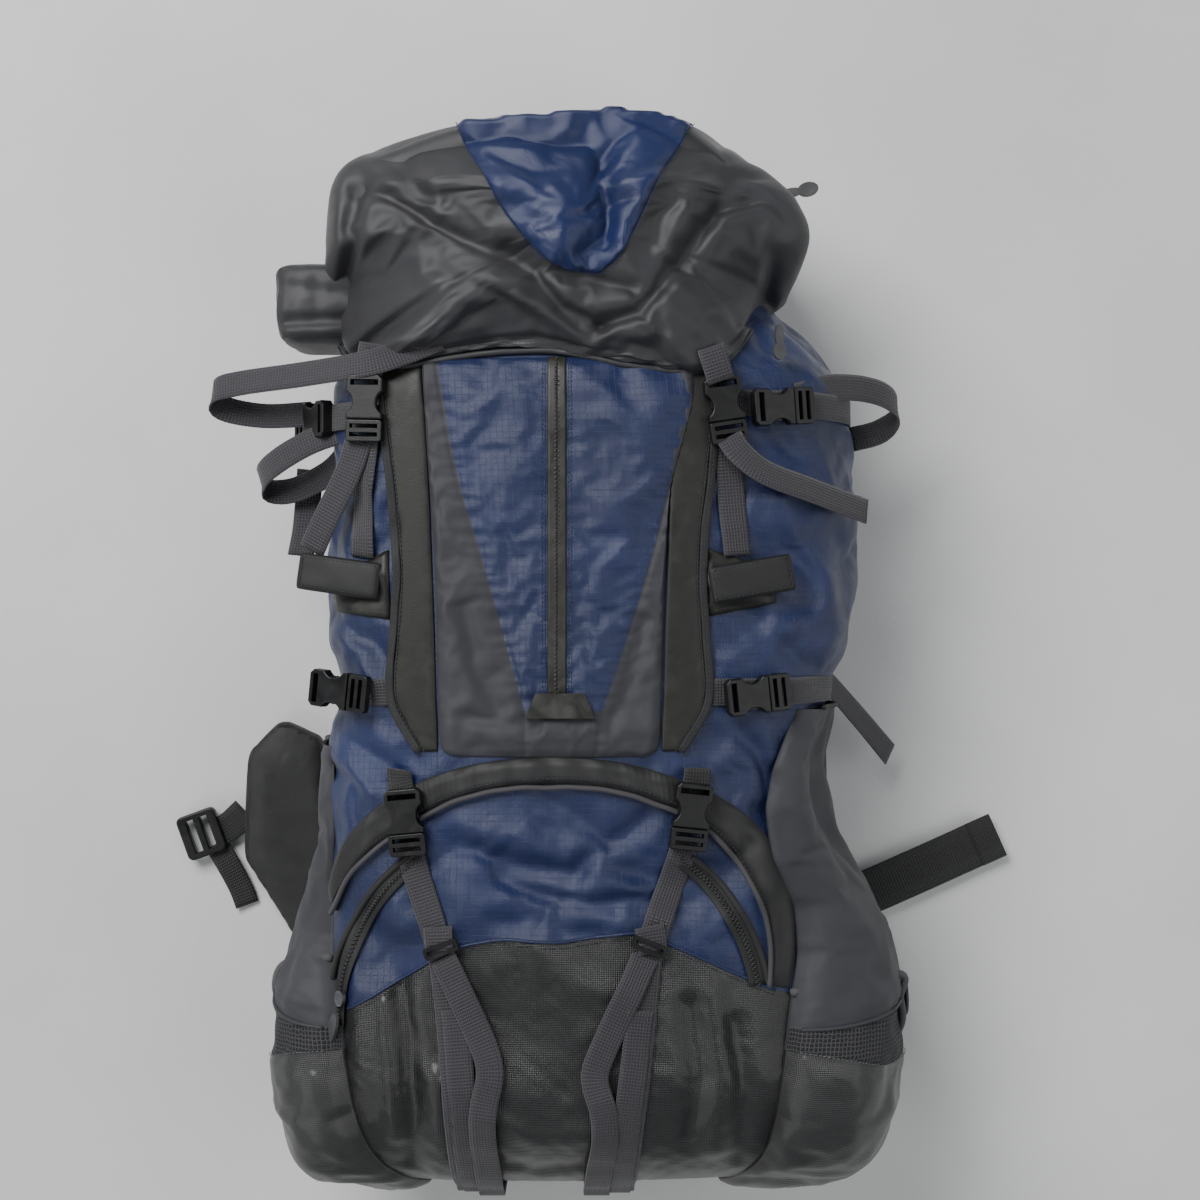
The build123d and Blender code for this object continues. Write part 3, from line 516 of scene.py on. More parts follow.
# Soft folds, as plan path, width and height in mm: hollows are negative.
FOLDS = [
    (mm((-97, -131), (-50, -147), (-11, -153), (-3, -141)), 8, -8),
    (mm((-90, -118), (-50, -130), (-5, -138)), 10, 5),
    (mm((-66, -156), (-36, -170), (7, -176), (60, -170)), 7, -8),
    (mm((-60, -168), (-20, -182), (20, -186)), 7, 4),
    (mm((-33, -96), (-1, -117), (12, -130), (30, -121), (40, -112)), 7, -7),
    (mm((20, -150), (55, -158), (90, -150)), 8, -6),
    (mm((-72, -186), (-22, -194), (8, -197)), 6, -5),
    (mm((70, -176), (95, -160), (112, -135)), 8, -6),
    (mm((88, -195), (112, -180), (128, -160)), 8, 4),
    (mm((-166, -188), (-158, -200), (-150, -214)), 20, -13),
    (mm((-150, -172), (-135, -190)), 12, 5),
    (mm((-140, -235), (-133, -270), (-130, -330), (-134, -370)), 7, -7),
    (mm((-150, -245), (-146, -290), (-142, -350)), 6, 5),
    (mm((-112, -300), (-108, -350), (-112, -385)), 9, 5),
    (mm((-70, -262), (-45, -275), (-20, -300)), 30, -5),
    (mm((-40, -205), (-10, -230), (25, -240)), 16, 4),
    (mm((-75, -330), (-40, -350), (0, -345)), 10, 4),
    (mm((-80, -365), (-40, -378), (10, -372)), 8, -4),
    (mm((72, -250), (78, -300), (70, -350)), 8, -6),
    (mm((88, -240), (98, -300), (92, -360)), 9, 5),
    (mm((104, -262), (112, -310), (108, -370)), 6, -4),
    (mm((120, 190), (150, 150), (165, 95), (160, 40)), 10, -5),
    (mm((140, 120), (172, 60), (178, 5)), 9, 5),
    (mm((110, 40), (140, 10), (170, -10)), 8, -5),
    (mm((100, 0), (135, 22), (175, 40)), 7, 4),
    (mm((178, 170), (188, 110), (186, 50)), 12, -4),
    (mm((-180, 150), (-168, 110), (-172, 75)), 7, -4),
    (mm((-190, 40), (-170, 20), (-150, 5)), 6, -5),
    (mm((-188, 20), (-170, 4), (-160, -14)), 6, 4),
    (mm((-186, -52), (-165, -62), (-140, -84)), 7, -6),
    (mm((-192, -70), (-172, -84), (-150, -100)), 6, 5),
    (mm((108, -50), (124, -66), (132, -90)), 6, -5),
    (mm((-178, 238), (-165, 225), (-150, 222)), 8, -5),
    (mm((120, 262), (150, 250), (178, 228)), 9, -6),
]


def edge_y(x):
    """Plan height of the seam between the blue cloth and the base."""
    return np.interp(x, [-0.194, -0.176, -0.136, -0.101, -0.065, -0.022, 0.035, 0.071, 0.132, 0.198],
                     [-0.262, -0.253, -0.229, -0.206, -0.199, -0.202, -0.194, -0.210, -0.239, -0.256])


def shape(x0, z0, y):
    """Where a point of the widest section lies at y: rounded base, narrowed collar, waist and folds."""
    near = np.clip((y - BASE) / BASE_R, 0, 1)
    low = BASE_R * (1 - np.sqrt(1 - (1 - near) ** 2))
    near = np.clip((y - BASE) / PLAN_R, 0, 1)
    slim = PLAN_R * (1 - np.sqrt(1 - (1 - near) ** 2))
    neck = smooth(SHOULDER_Y, COLLAR_Y, y)
    x = MIDDLE * (1 - neck) + (x0 - MIDDLE) * ((HALF - slim) * (1 - neck) + COLLAR_HALF * neck) / HALF
    z = BACK + (z0 - BACK) * (FRONT - BACK - low - COLLAR_DROP * neck) / (FRONT - BACK)
    upright = smooth(0.035, 0.10, z0)
    waist = 0.026 * np.maximum(hill(y, -0.085, 0.075), 0.55 * hill(y, -0.022, 0.02))
    x = x - waist * smooth(0.12, RIGHT, x0) * upright
    x = x + 0.007 * hill(y, -0.02, 0.02) * smooth(-0.14, LEFT, x0) * upright
    x = x + 0.006 * hill(y, 0.10, 0.05) * smooth(0.12, RIGHT, x0) * upright
    facing = smooth(0.12, 0.17, z0)
    for path, width, height in FOLDS:
        z = z + 0.001 * height * facing * np.exp(-(distance_to(path, x, y) / (0.001 * width)) ** 2)
    return x, z


def on_form(column, y):
    """Point and outward normal on the smooth form at a fractional column and y."""
    def at(c, v):
        c = np.clip(c, 0, COLUMNS - 1)
        index = np.arange(COLUMNS)
        x, z = shape(np.interp(c, index, SECTION[:, 0]), np.interp(c, index, SECTION[:, 1]), v)
        return np.stack([x, v, z], axis=-1)
    column, y = np.broadcast_arrays(np.asarray(column, float), np.asarray(y, float))
    along = at(column + 1.0, y) - at(column - 1.0, y)
    up = at(column, y + 0.004) - at(column, y - 0.004)
    normal = np.cross(up, along)
    normal /= np.linalg.norm(normal, axis=-1, keepdims=True) + 1e-12
    outward = at(column, y) - np.array([MIDDLE, 0, 0.12])
    outward[..., 1] = 0
    normal *= np.sign((normal * outward).sum(-1, keepdims=True))
    return at(column, y), normal


def column_of(x):
    """The column on the front at plan x."""
    part = np.arange(CROWN_START, CROWN_END)
    return np.interp(-np.asarray(x, float), -SECTION[part, 0], part)


def side_column(z, side):
    """The column on the right (1) or left (-1) wall at height z."""
    part = np.arange(18, 40) if side > 0 else np.arange(COLUMNS - 40, COLUMNS - 18)
    heights = SECTION[part, 1]
    order = np.argsort(heights)
    return np.interp(z, heights[order], part[order])


def pinned_front(x, y, z0):
    """1 where a sewn-on panel, a buckle or the lid covers the bag."""
    facing = smooth(0.11, 0.14, z0)
    reach = np.interp(y, [-0.062, -0.024, 0.075, 0.215], [0.0945, 0.1165, 0.111, 0.126])
    inside = (np.abs(x - FRONT_X) < reach) & (y > -0.072)
    ring = np.hypot(x - FRONT_X, y - ARCH_Y)
    inside |= (ring > ARCH_R - 0.008) & (ring < ARCH_R + 0.042) & (y > ARCH_Y - 0.01)
    inside |= np.abs(y - edge_y(x)) < 0.004
    inside |= y > 0.262
    for name in nodes:
        if name.endswith(("_female", "_male")):
            low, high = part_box(name)
            inside |= np.hypot(x - 0.5 * (low.x + high.x), y - 0.5 * (low.y + high.y)) < 0.024
    banded = np.zeros(np.shape(x), bool)
    for side, band_y, start in SIDE_BANDS:
        banded |= (np.abs(y - band_y) < 0.014) & (side * x > side * start)
    return np.maximum(np.where(inside, facing, 0.0), np.where(banded, 1.0, 0.0))


def bag_body():
    """The main bag as one closed cloth body: back, sides, front, lower compartment, base and collar."""
    low_rows, high_rows = 34, 92
    rows = np.concatenate([np.linspace(BASE, EDGE, low_rows, endpoint=False),
                           np.linspace(EDGE, TOP, high_rows)])
    y, x0 = np.meshgrid(rows, SECTION[:, 0], indexing="ij")
    z0 = np.broadcast_to(SECTION[:, 1], y.shape)
    window = np.minimum(smooth(BASE + 0.06, EDGE, y), 1 - smooth(EDGE, EDGE + 0.11, y))
    y = y + (edge_y(x0) - EDGE) * window
    x, z = shape(x0, z0, y)
    facing = pinned_front(x, y, z0)
    points = np.stack([x, y, z], axis=-1)
    for index in np.ndindex(y.shape):
        free = (1 - facing[index]) * float(smooth(0.04, 0.09, z0[index]))
        if free > 0.01:
            px, py, pz = points[index]
            outward = np.array([px - MIDDLE, 0.0, 1.6 * (pz - 0.12)])
            outward /= np.linalg.norm(outward)
            ripple = wander(px, py * 1.3, pz, 16.0, 3.0) + 0.6 * wander(px + 0.3 * py, py, pz, 42.0, 7.0)
            calm = 0.3 if index[0] < low_rows else 1.0
            points[index] = points[index] + outward * 0.0034 * free * calm * ripple
    count = y.shape[0]
    faces = grid_faces(count, COLUMNS, closed=True)
    picks = [1 if f[0] // COLUMNS < low_rows else 0 for f in faces]
    run = np.concatenate([[0], np.cumsum(np.linalg.norm(np.diff(SECTION, axis=0), axis=1))])
    cloth = np.stack([np.broadcast_to(run, y.shape), y, 0 * y], axis=-1).reshape(-1, 3)
    vertices = points.reshape(-1, 3)
    pins = np.maximum(facing, 1 - smooth(0.036, 0.07, z0))
    pins[:low_rows] = np.maximum(pins[:low_rows], 0.9)
    pins = pins.ravel()
    for end, fractions, bulge, pick in ((0, (0.9, 0.7, 0.45, 0.2), -0.004, 1),
                                        (count - 1, (0.8, 0.5, 0.25), 0.010, 0)):
        ring = points[end]
        centre = ring.mean(axis=0)
        previous = end * COLUMNS
        for fraction in fractions:
            inner = centre + (ring - centre) * fraction
            pleat = np.cos(np.arange(COLUMNS) * 2 * math.pi * 16 / COLUMNS) * (0.004 if end else 0.0)
            inner[:, 1] += bulge * (1 - fraction ** 2) + pleat
            first = len(vertices)
            vertices = np.vstack([vertices, inner])
            flat = np.stack([inner[:, 0] + 0.5, inner[:, 2], 0 * inner[:, 0]], axis=1)
            cloth = np.vstack([cloth, flat])
            pins = np.concatenate([pins, np.full(COLUMNS, 0.8)])
            for j in range(COLUMNS):
                k = (j + 1) % COLUMNS
                face = (previous + j, first + j, first + k, previous + k)
                faces.append(face if end == 0 else face[::-1])
                picks.append(pick)
            previous = first
        faces.append(tuple(range(previous, previous + COLUMNS)) if end == 0
                     else tuple(range(previous + COLUMNS - 1, previous - 1, -1)))
        picks.append(pick)
    piece = make("bag_body", vertices, faces, [BLUE, COATED], cloth=cloth, picks=picks)
    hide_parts("back_panel", "front_panel", "lower_panel", "left_side_panel", "right_side_panel",
                "collar", "base_panel")
    return settle(piece, pins, growth=0.035, pressure=0.5, frames=16, cap=0.009, bend=1.2)


bag = bag_body()
BAG_TREE = tree_of(bag)
rounder(bag)


def drop(x, y, tree=None, blur=0.005):
    """Point and softened normal of the surface straight below a plan point."""
    tree = tree or BAG_TREE
    hits = []
    for dx, dy in ((0, 0), (blur, 0), (-blur, 0), (0, blur), (0, -blur)):
        place, normal, _, _ = tree.ray_cast(Vector((x + dx, y + dy, 0.6)), Vector((0, 0, -1)))
        hits.append((place, normal))
    place = hits[0][0]
    if place is None:
        place = tree.find_nearest(Vector((x, y, 0.16)))[0]
    total = Vector((0, 0, 0.001))
    for _, normal in hits:
        if normal is not None:
            total += normal if normal.z > 0 else -normal
    return np.array(place), np.array(total.normalized())


# ---------------------------------------------------------------- sewn-on panels, ribbons, seams
def patch(name, curves, counts, rows, level, materials, tree=None, thick=None, pick=None, edge=0.35,
          body="pack", lift=None):
    """A closed panel laid on the surface between plan curves, level above it, thinner at its edges."""
    lines = [spread(curve, rows) for curve in curves]
    columns, bands = [], []
    for k, count in enumerate(counts):
        for c in range(count):
            columns.append(lines[k] + (lines[k + 1] - lines[k]) * (c / count))
            bands.append(k)
    columns.append(lines[-1])
    width = len(columns)
    top, under, cloth = [], [], []
    for i in range(rows):
        across = 0.0
        for j, column in enumerate(columns):
            x, y = column[i]
            place, normal = drop(x, y, tree)
            border = min(i, rows - 1 - i, j, width - 1 - j)
            height = level * (edge + (1 - edge) * min(1.0, border / 2.0))
            if lift is not None:
                height = max(0.3 * level, height + lift(x, y, border))
            if j:
                across += float(np.linalg.norm(column[i] - columns[j - 1][i]))
            top.append(place + normal * height)
            under.append(place - normal * (thick or 0.001))
            cloth.append((across, y, 0.0))
    faces = [f[::-1] for f in grid_faces(rows, width)]
    picks = [(pick(bands[(f[0] % width) - 0 if (f[0] % width) < len(bands) else -1], top[f[0]]) if pick
              else 0) for f in grid_faces(rows, width)]
    offset = rows * width
    faces += grid_faces(rows, width, offset=offset)
    picks += [0] * ((rows - 1) * (width - 1))
    loop = ([(0, j) for j in range(width)] + [(i, width - 1) for i in range(1, rows)]
            + [(rows - 1, j) for j in range(width - 2, -1, -1)] + [(i, 0) for i in range(rows - 2, 0, -1)])
    for (a, b), (c, d) in zip(loop, loop[1:] + loop[:1]):
        p, q = a * width + b, c * width + d
        faces.append((p, q, q + offset, p + offset))
        picks.append(0)
    piece = make(name, top + under, faces, materials, body, cloth + cloth, picks)
    return piece, rows, width, bands


def strap(name, centres, normals, material, width=WEB, thick=0.0016, body="pack", count=None):
    """A flat webbing ribbon with rounded edges along a path, its face towards the normals."""
    centres = np.array(centres, float)
    normals = np.array(normals, float)
    if normals.ndim == 1:
        normals = np.tile(normals, (len(centres), 1))
    count = count or max(8, int(run_length(centres) / 0.004))
    both = spread(np.hstack([centres, normals * 1e-4]), count)
    path, facing = both[:, :3], both[:, 3:] / 1e-4
    tangent = np.gradient(path, axis=0)
    tangent /= np.linalg.norm(tangent, axis=1, keepdims=True) + 1e-12
    across = np.cross(tangent, facing)
    across /= np.linalg.norm(across, axis=1, keepdims=True) + 1e-12
    up = np.cross(across, tangent)
    soft = 0.0006
    half, tall = width / 2, thick / 2
    ring = [(-half, 0), (-half + soft, tall), (-half / 2, tall), (0, tall), (half / 2, tall),
            (half - soft, tall), (half, 0), (half - soft, -tall), (0, -tall), (-half + soft, -tall)]
    run = np.concatenate([[0], np.cumsum(np.linalg.norm(np.diff(path, axis=0), axis=1))])
    vertices, cloth = [], []
    for i in range(count):
        for a, b in ring:
            vertices.append(path[i] + across[i] * a + up[i] * b)
            cloth.append((a, run[i], 0))
    size = len(ring)
    faces = grid_faces(count, size, closed=True)
    faces.append(tuple(range(size))[::-1])
    faces.append(tuple((count - 1) * size + k for k in range(size)))
    piece = make(name, vertices, faces, [material], body, cloth)
    return piece, path + up * tall, across, up


def lay(points, level, tree=None, calm=2):
    """A path laid on the surface: centres and normals, smoothed a little along its length."""
    plan = spread(points, max(6, int(run_length(points) / 0.006)))
    found = [drop(x, y, tree) for x, y in plan]
    centres = np.array([p + n * level for p, n in found])
    normals = np.array([n for _, n in found])
    for _ in range(calm):
        soft = centres.copy()
        soft[1:-1] = (centres[:-2] + centres[1:-1] + centres[2:]) / 3
        centres = np.maximum(centres, soft) * [0, 0, 1] + soft * [1, 1, 0]
        normals[1:-1] = normals[:-2] + normals[1:-1] + normals[2:]
        normals /= np.linalg.norm(normals, axis=1, keepdims=True)
    return centres, normals


STITCH_SIDES = 6


def stitches(name, rows, material, pitch=0.0034, length=0.0024, radius=0.00035, body="pack"):
    """Raised thread stitches along paths of points; each path is an array of places."""
    vertices, faces = [], []
    for path in rows:
        path = np.array(path, float)
        count = max(2, int(run_length(path) / pitch))
        places = spread(path, count + 1)
        for a, b in zip(places[:-1], places[1:]):
            along = (b - a) / (np.linalg.norm(b - a) + 1e-12)
            middle = (a + b) / 2
            side = np.cross(along, [0.1, 0.2, 1.0])
            side /= np.linalg.norm(side) + 1e-12
            up = np.cross(side, along)
            base = len(vertices)
            for step, grow in ((-0.5, 0.45), (-0.25, 1.0), (0.25, 1.0), (0.5, 0.45)):
                for k in range(STITCH_SIDES):
                    turn = 2 * math.pi * k / STITCH_SIDES
                    vertices.append(middle + along * length * step
                                    + (side * math.cos(turn) + up * math.sin(turn)) * radius * grow)
            faces += grid_faces(4, STITCH_SIDES, closed=True, offset=base)
            faces.append(tuple(base + k for k in range(STITCH_SIDES))[::-1])
            faces.append(tuple(base + 3 * STITCH_SIDES + k for k in range(STITCH_SIDES)))
    return make(name, vertices, faces, [material], body)


def bar_tack(path, across, up, index, rows=3, half=0.0078, gap=0.0022):
    """Stitch rows across a ribbon, for stitches()."""
    along = path[min(index + 1, len(path) - 1)] - path[index - 1]
    along = along / (np.linalg.norm(along) + 1e-12)
    out = []
    for k in range(rows):
        middle = path[index] + along * gap * (k - (rows - 1) / 2) + up[index] * 0.0002
        out.append([middle - across[index] * half, middle + across[index] * half])
    return out


def tube(name, points, radius, material, body="pack", sides=8, count=None):
    """A soft round cord or piping along a path."""
    path = spread(points, count or max(8, int(run_length(points) / 0.003)))
    tangent = np.gradient(path, axis=0)
    tangent /= np.linalg.norm(tangent, axis=1, keepdims=True) + 1e-12
    side = np.cross(tangent, [0.03, 0.02, 1.0])
    side /= np.linalg.norm(side, axis=1, keepdims=True) + 1e-12
    up = np.cross(side, tangent)
    vertices = []
    for p, s, u in zip(path, side, up):
        for k in range(sides):
            turn = 2 * math.pi * k / sides
            vertices.append(p + (s * math.cos(turn) + u * math.sin(turn)) * radius)
    faces = grid_faces(len(path), sides, closed=True)
    faces.append(tuple(range(sides))[::-1])
    faces.append(tuple((len(path) - 1) * sides + k for k in range(sides)))
    return make(name, vertices, faces, [material], body)


def coil(name, centres, normals, body="pack"):
    """Zip teeth: a tight zigzag of moulded coil along a path."""
    pitch, half = 0.0016, 0.0021
    count = int(run_length(centres) / pitch)
    both = spread(np.hstack([centres, normals * 1e-3]), count)
    path, up = both[:, :3], both[:, 3:] / 1e-3
    tangent = np.gradient(path, axis=0)
    tangent /= np.linalg.norm(tangent, axis=1, keepdims=True) + 1e-12
    across = np.cross(tangent, up)
    zigzag = []
    for i in range(count):
        sway = half if i % 2 else -half
        zigzag.append(path[i] + across[i] * sway)
        zigzag.append(path[i] + across[i] * sway * 0.3 + up[i] * 0.0007 + tangent[i] * pitch * 0.5)
    return tube(name, zigzag, 0.00055, COIL, body, sides=5, count=len(zigzag) * 2)


# ---------------------------------------------------------------- front pocket, rails, flap and zips
def front_pocket():
    """Stretch pocket with two blue halves either side of the zip, puckered along its seams."""
    outer = [(93, 222), (84, 75), (81, -24), (79, -60), (70, -67)]
    left = mm(*[(-30 - x, y) for x, y in outer])
    right = mm(*[(-30 + x, y) for x, y in outer])
    seam_left = mm((-112, 221), (-106, 185), (-95, 131), (-78, 75), (-60, 12), (-48, -34), (-47, -68))
    seam_right = mm((77, 221), (73, 190), (63, 152), (49, 96), (35, 47), (18, -6), (8, -34), (4, -68))
    zip_left = mm((-31.5, 222), (-31.5, -68))
    zip_right = mm((-17.5, 222), (-17.5, -68))
    seams = [np.array(seam_left), np.array(seam_right)]

    def pucker(x, y, border):
        near = min(distance_to(seam, np.array(x), np.array(y)) for seam in seams)
        ripple = 0.0009 * math.exp(-(near / 0.006) ** 2) * math.sin(y * 700.0 + 3.0 * math.sin(y * 90.0))
        valley = -0.0016 * math.exp(-(near / 0.0022) ** 2)
        low = 0.0035 * math.exp(-((y + 0.048) / 0.010) ** 2) * math.exp(-((x - FRONT_X) / 0.06) ** 2)
        crease = -0.0045 * math.exp(-(distance_to(mm((-88, -38), (-62, -44), (-40, -46)), x, y) / 0.005) ** 2)
        crease -= 0.004 * math.exp(-(distance_to(mm((-92, 40), (-80, -10), (-66, -34)), x, y) / 0.006) ** 2)
        crease -= 0.004 * math.exp(-(distance_to(mm((38, 30), (26, -14), (14, -44)), x, y) / 0.006) ** 2)
        soft = 0.0014 * wander(x, y, 0, 26.0, 1.0) if border > 1 else 0.0
        return ripple + valley + low + crease * (border > 0) + soft

    def cloth_of(band, point):
        return 1 if band in (1, 2, 3) and point[1] > -0.033 else 0

    piece, rows, width, _ = patch("front_pocket_cloth",
                                  [left, seam_left, zip_left, zip_right, seam_right, right],
                                  [12, 14, 2, 14, 12], 96, 0.0052, [STRETCH, BLUE],
                                  pick=cloth_of, lift=pucker)
    pins = np.ones(2 * rows * width)
    for i in range(1, rows - 1):
        for j in range(1, width - 1):
            seam = j in (12, 26, 27, 28, 42)
            pins[i * width + j] = 0.9 if seam else 0.0
    settle(piece, pins, growth=0.022, pressure=0.5, frames=14, cap=0.006, bend=2.5)
    rounder(piece)
    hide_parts("front_pocket")
    return piece


front_pocket_piece = front_pocket()
POCKET_TREE = tree_of(front_pocket_piece)


def front_zip():
    """Two tape halves with rows of stitching either side and the coil between them."""
    for word, offset in (("left", -0.0034), ("right", 0.0034)):
        path = [(ZIP_X + offset, y) for y in (0.221, 0.16, 0.10, 0.04, -0.024)]
        centres, normals = lay(path, 0.0012, POCKET_TREE, calm=6)
        piece, _, _, _ = strap(f"front_zip_tape_{word}", centres, normals, TAPE, width=0.0064,
                               thick=0.0011)
        if word == "left":
            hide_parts("front_zip_tape")
    centres, normals = lay([(ZIP_X, y) for y in (0.221, 0.12, 0.04, -0.024)], 0.0011, POCKET_TREE, calm=6)
    coil("front_zip_coil", centres, normals)
    rows = []
    for offset in (-0.0105, -0.0085, 0.0085, 0.0105):
        centres, _ = lay([(ZIP_X + offset, y) for y in (0.220, 0.10, -0.028)], 0.0004, POCKET_TREE, calm=0)
        rows.append(centres)
    stitches("front_zip_stitching", rows, BLUE_STITCH)


TAPE = moulded("zip_tape_coated", (0.022, 0.022, 0.0175), 0.42, grain=0.00015, cloth=False)
front_zip()


def rails():
    """Rubber compression rails with stitched binding on their outer edges."""
    outer = [(126, 216), (118, 150), (111, 75), (113, 20), (116, -24), (106, -46), (94, -64)]
    inner = [(93, 216), (88, 150), (85, 75), (83, 20), (82, -24), (81, -45), (81, -64)]
    for word, side in (("left", -1), ("right", 1)):
        out = mm(*[(-30 + side * x, y) for x, y in outer])
        into = mm(*[(-30 + side * x, y) for x, y in inner])
        curves = [out, into] if side < 0 else [into, out]
        piece, _, _, _ = patch(f"{word}_rail_rubber", curves, [8], 70, 0.0030, [RUBBER],
                               edge=0.8)
        rounder(piece)
        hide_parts(f"{word}_rail")
        centres, normals = lay(out, 0.0032)
        _, top, _, _ = strap(f"{word}_rail_binding", centres, normals, BINDING,
                                     width=0.0062, thick=0.0016)
        inner_line, _ = lay([(x + side * -0.0042, y) for x, y in out], 0.0036)
        stitches(f"{word}_rail_stitching", [top, inner_line], STITCH)


rails()


def arch_flap():
    """Dark flap over the lower zip, with a wavy rolled binding on its free edge."""
    upper = mm((-197, -180), (-185, -138), (-158, -106), (-120, -84), (-80, -72), (-30, -67), (20, -71),
               (62, -83), (100, -101), (128, -126), (146, -165), (150, -210), (145, -240))
    lower = mm((-189, -186), (-172, -152), (-146, -128), (-110, -105), (-76, -93), (-32, -88), (16, -92),
               (54, -104), (86, -123), (108, -147), (124, -178), (130, -208), (129, -236))

    def wavy(x, y, border):
        return (0.0012 * math.sin(x * 260.0) + 0.0012 * wander(x, y, 0, 30.0, 5.0)) * (border > 0)

    piece, _, _, _ = patch("arch_flap_cloth", [upper, lower], [8], 90, 0.0048, [DARK],
                           lift=wavy)
    rounder(piece)
    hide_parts("arch_flap")
    centres, _ = lay([(x, y + 0.0010 * math.sin(x * 240.0)) for x, y in spread(lower, 60)], 0.0052)
    tube("arch_flap_roll", centres, 0.0019, ROLL)
    centres, _ = lay([(x, y + 0.006) for x, y in lower], 0.0056)
    stitches("arch_flap_stitching", [centres], STITCH)


ROLL = woven("rolled_binding", (0.045, 0.043, 0.049), 0.65, twill=0.0012, crumple=0.0, sheen=0.08)
arch_flap()


def lower_zip():
    """Curved zip down both sides of the lower compartment, in a black gutter."""
    for word, start, end in (("left", 182, 128), ("right", 52, 10)):
        turn = np.radians(np.linspace(start, end, 30))
        path = [(FRONT_X + ARCH_R * math.cos(a), ARCH_Y + ARCH_R * math.sin(a)) for a in turn]
        centres, normals = lay(path, 0.0022)
        piece, _, _, _ = strap(f"lower_zip_tape_{word}", centres, normals, DARK, width=0.013,
                               thick=0.0012)
        coil(f"lower_zip_coil_{word}", centres + normals * 0.0012, normals)
        if word == "left":
            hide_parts("lower_zip_tape")
        sign = -1 if word == "left" else 1
        outer = [(x + sign * 0.0075, y + 0.001) for x, y in path]
        centres, _ = lay(outer, 0.0030)
        tube(f"lower_zip_garter_{word}", centres, 0.0024, BINDING)


lower_zip()


def base_seam():
    """Fold and double stitching where the blue cloth meets the coated base."""
    x = np.linspace(-0.178, 0.135, 60)
    path = [(a, float(edge_y(a))) for a in x]
    centres, _ = lay(path, 0.0006)
    tube("base_seam_roll", centres, 0.0012, BLUE)
    lower, _ = lay([(a, b - 0.004) for a, b in path], 0.0003, calm=0)
    stitches("base_seam_stitching", [lower], STITCH)


base_seam()


# ---------------------------------------------------------------- label tabs
def pillow(name, centre, heading, tilt, size, material, body="pack"):
    """A padded rectangular tab with rounded corners."""
    width, height, thick = size
    turn = math.radians(heading)
    along = np.array([math.cos(turn), math.sin(turn), tilt])
    along /= np.linalg.norm(along)
    over = np.cross([0, 0, 1.0], along)
    over /= np.linalg.norm(over)
    up = np.cross(along, over)
    rows, columns = 13, 25
    vertices, cloth = [], []
    for face in (1, -1):
        for v in np.linspace(-1, 1, rows):
            for u in np.linspace(-1, 1, columns):
                corner = 1 - 0.035 * u ** 8 * v ** 8
                swell = (1 - abs(u) ** 8) ** 0.5 * (1 - abs(v) ** 6) ** 0.5
                vertices.append(centre + along * u * width / 2 * corner + over * v * height / 2 * corner
                                + up * face * thick / 2 * (0.25 + 0.75 * swell))
                cloth.append((u * width / 2, v * height / 2, 0))
    faces = grid_faces(rows, columns) + [f[::-1] for f in grid_faces(rows, columns, offset=rows * columns)]
    loop = ([j for j in range(columns)] + [i * columns + columns - 1 for i in range(1, rows)]
            + [(rows - 1) * columns + j for j in range(columns - 2, -1, -1)]
            + [i * columns for i in range(rows - 2, 0, -1)])
    offset = rows * columns
    for a, b in zip(loop, loop[1:] + loop[:1]):
        faces.append((b, a, a + offset, b + offset))
    piece = make(name, vertices, faces, [material], body, cloth)
    frame_line = []
    inset = 0.0028
    w, h = width / 2 - inset, height / 2 - inset
    for u, v in ((-w, -h), (w, -h), (w, h), (-w, h), (-w, -h)):
        frame_line.append(centre + along * u + over * v + up * (thick / 2 * 0.95))
    lines = [np.linspace(a, b, 12) for a, b in zip(frame_line[:-1], frame_line[1:])]
    stitches(name + "_border", lines, STITCH, body=body)
    return piece


def label_tabs():
    """Padded plain tabs on rubber bases; they carry no lettering."""
    patch("left_tab_base", [mm((-192, 60), (-190, 38)), mm((-147, 82), (-146, 32))],
          [10], 14, 0.0024, [RUBBER], edge=0.8)
    patch("right_tab_base", [mm((84, 84), (85, 34)), mm((136, 68), (135, 44))], [10], 14, 0.0024, [RUBBER],
          edge=0.8)
    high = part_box("label_tabs")[1]
    left = pillow("left_label_tab", np.array([-0.184, 0.0635, high.z - 0.013]), -8, 0.16,
                  (0.062, 0.027, 0.0055), TAB)
    pillow("right_label_tab", np.array([0.117, 0.0615, high.z - 0.007]), 10, -0.12, (0.062, 0.027, 0.0055),
           TAB)
    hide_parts("label_tabs")


TAB = woven("tab_cloth", (0.0035, 0.0035, 0.0037), 0.55, pitch=0.0012, crumple=0.0004, sheen=0.04)
label_tabs()


# ---------------------------------------------------------------- webbing
def side_bands():
    """Compression webbing from each rail round the corner and down the side."""
    for number, (side, band_y, start) in enumerate(SIDE_BANDS):
        word = "left" if side < 0 else "right"
        level = "upper" if band_y > 0.1 else "mid"
        first, last = float(column_of(start)), float(side_column(0.050, side))
        columns = np.linspace(first, last, 44)
        points, normals = on_form(columns, np.full(44, band_y))
        piece, top, across, up = strap(f"{word}_{level}_band", points + normals * 0.0022, normals, WEBBING)
        stitches(f"{word}_{level}_band_tack", bar_tack(top, across, up, 4), PALE_STITCH)
        if number == 0:
            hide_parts("side_straps")


side_bands()


def over_base(plan, level, low_z=0.060):
    """A strap path laid down the front and turned over the rounded end of the base."""
    centres, normals = lay(plan, level)
    x = plan[-1][0]
    turned, facing = [], []
    for z in np.linspace(centres[-1][2] - 0.012, low_z, 9):
        turned.append((x, BASE - level - 0.001, z))
        facing.append((0, -1, 0.0))
    return np.vstack([centres, turned]), np.vstack([normals, facing])


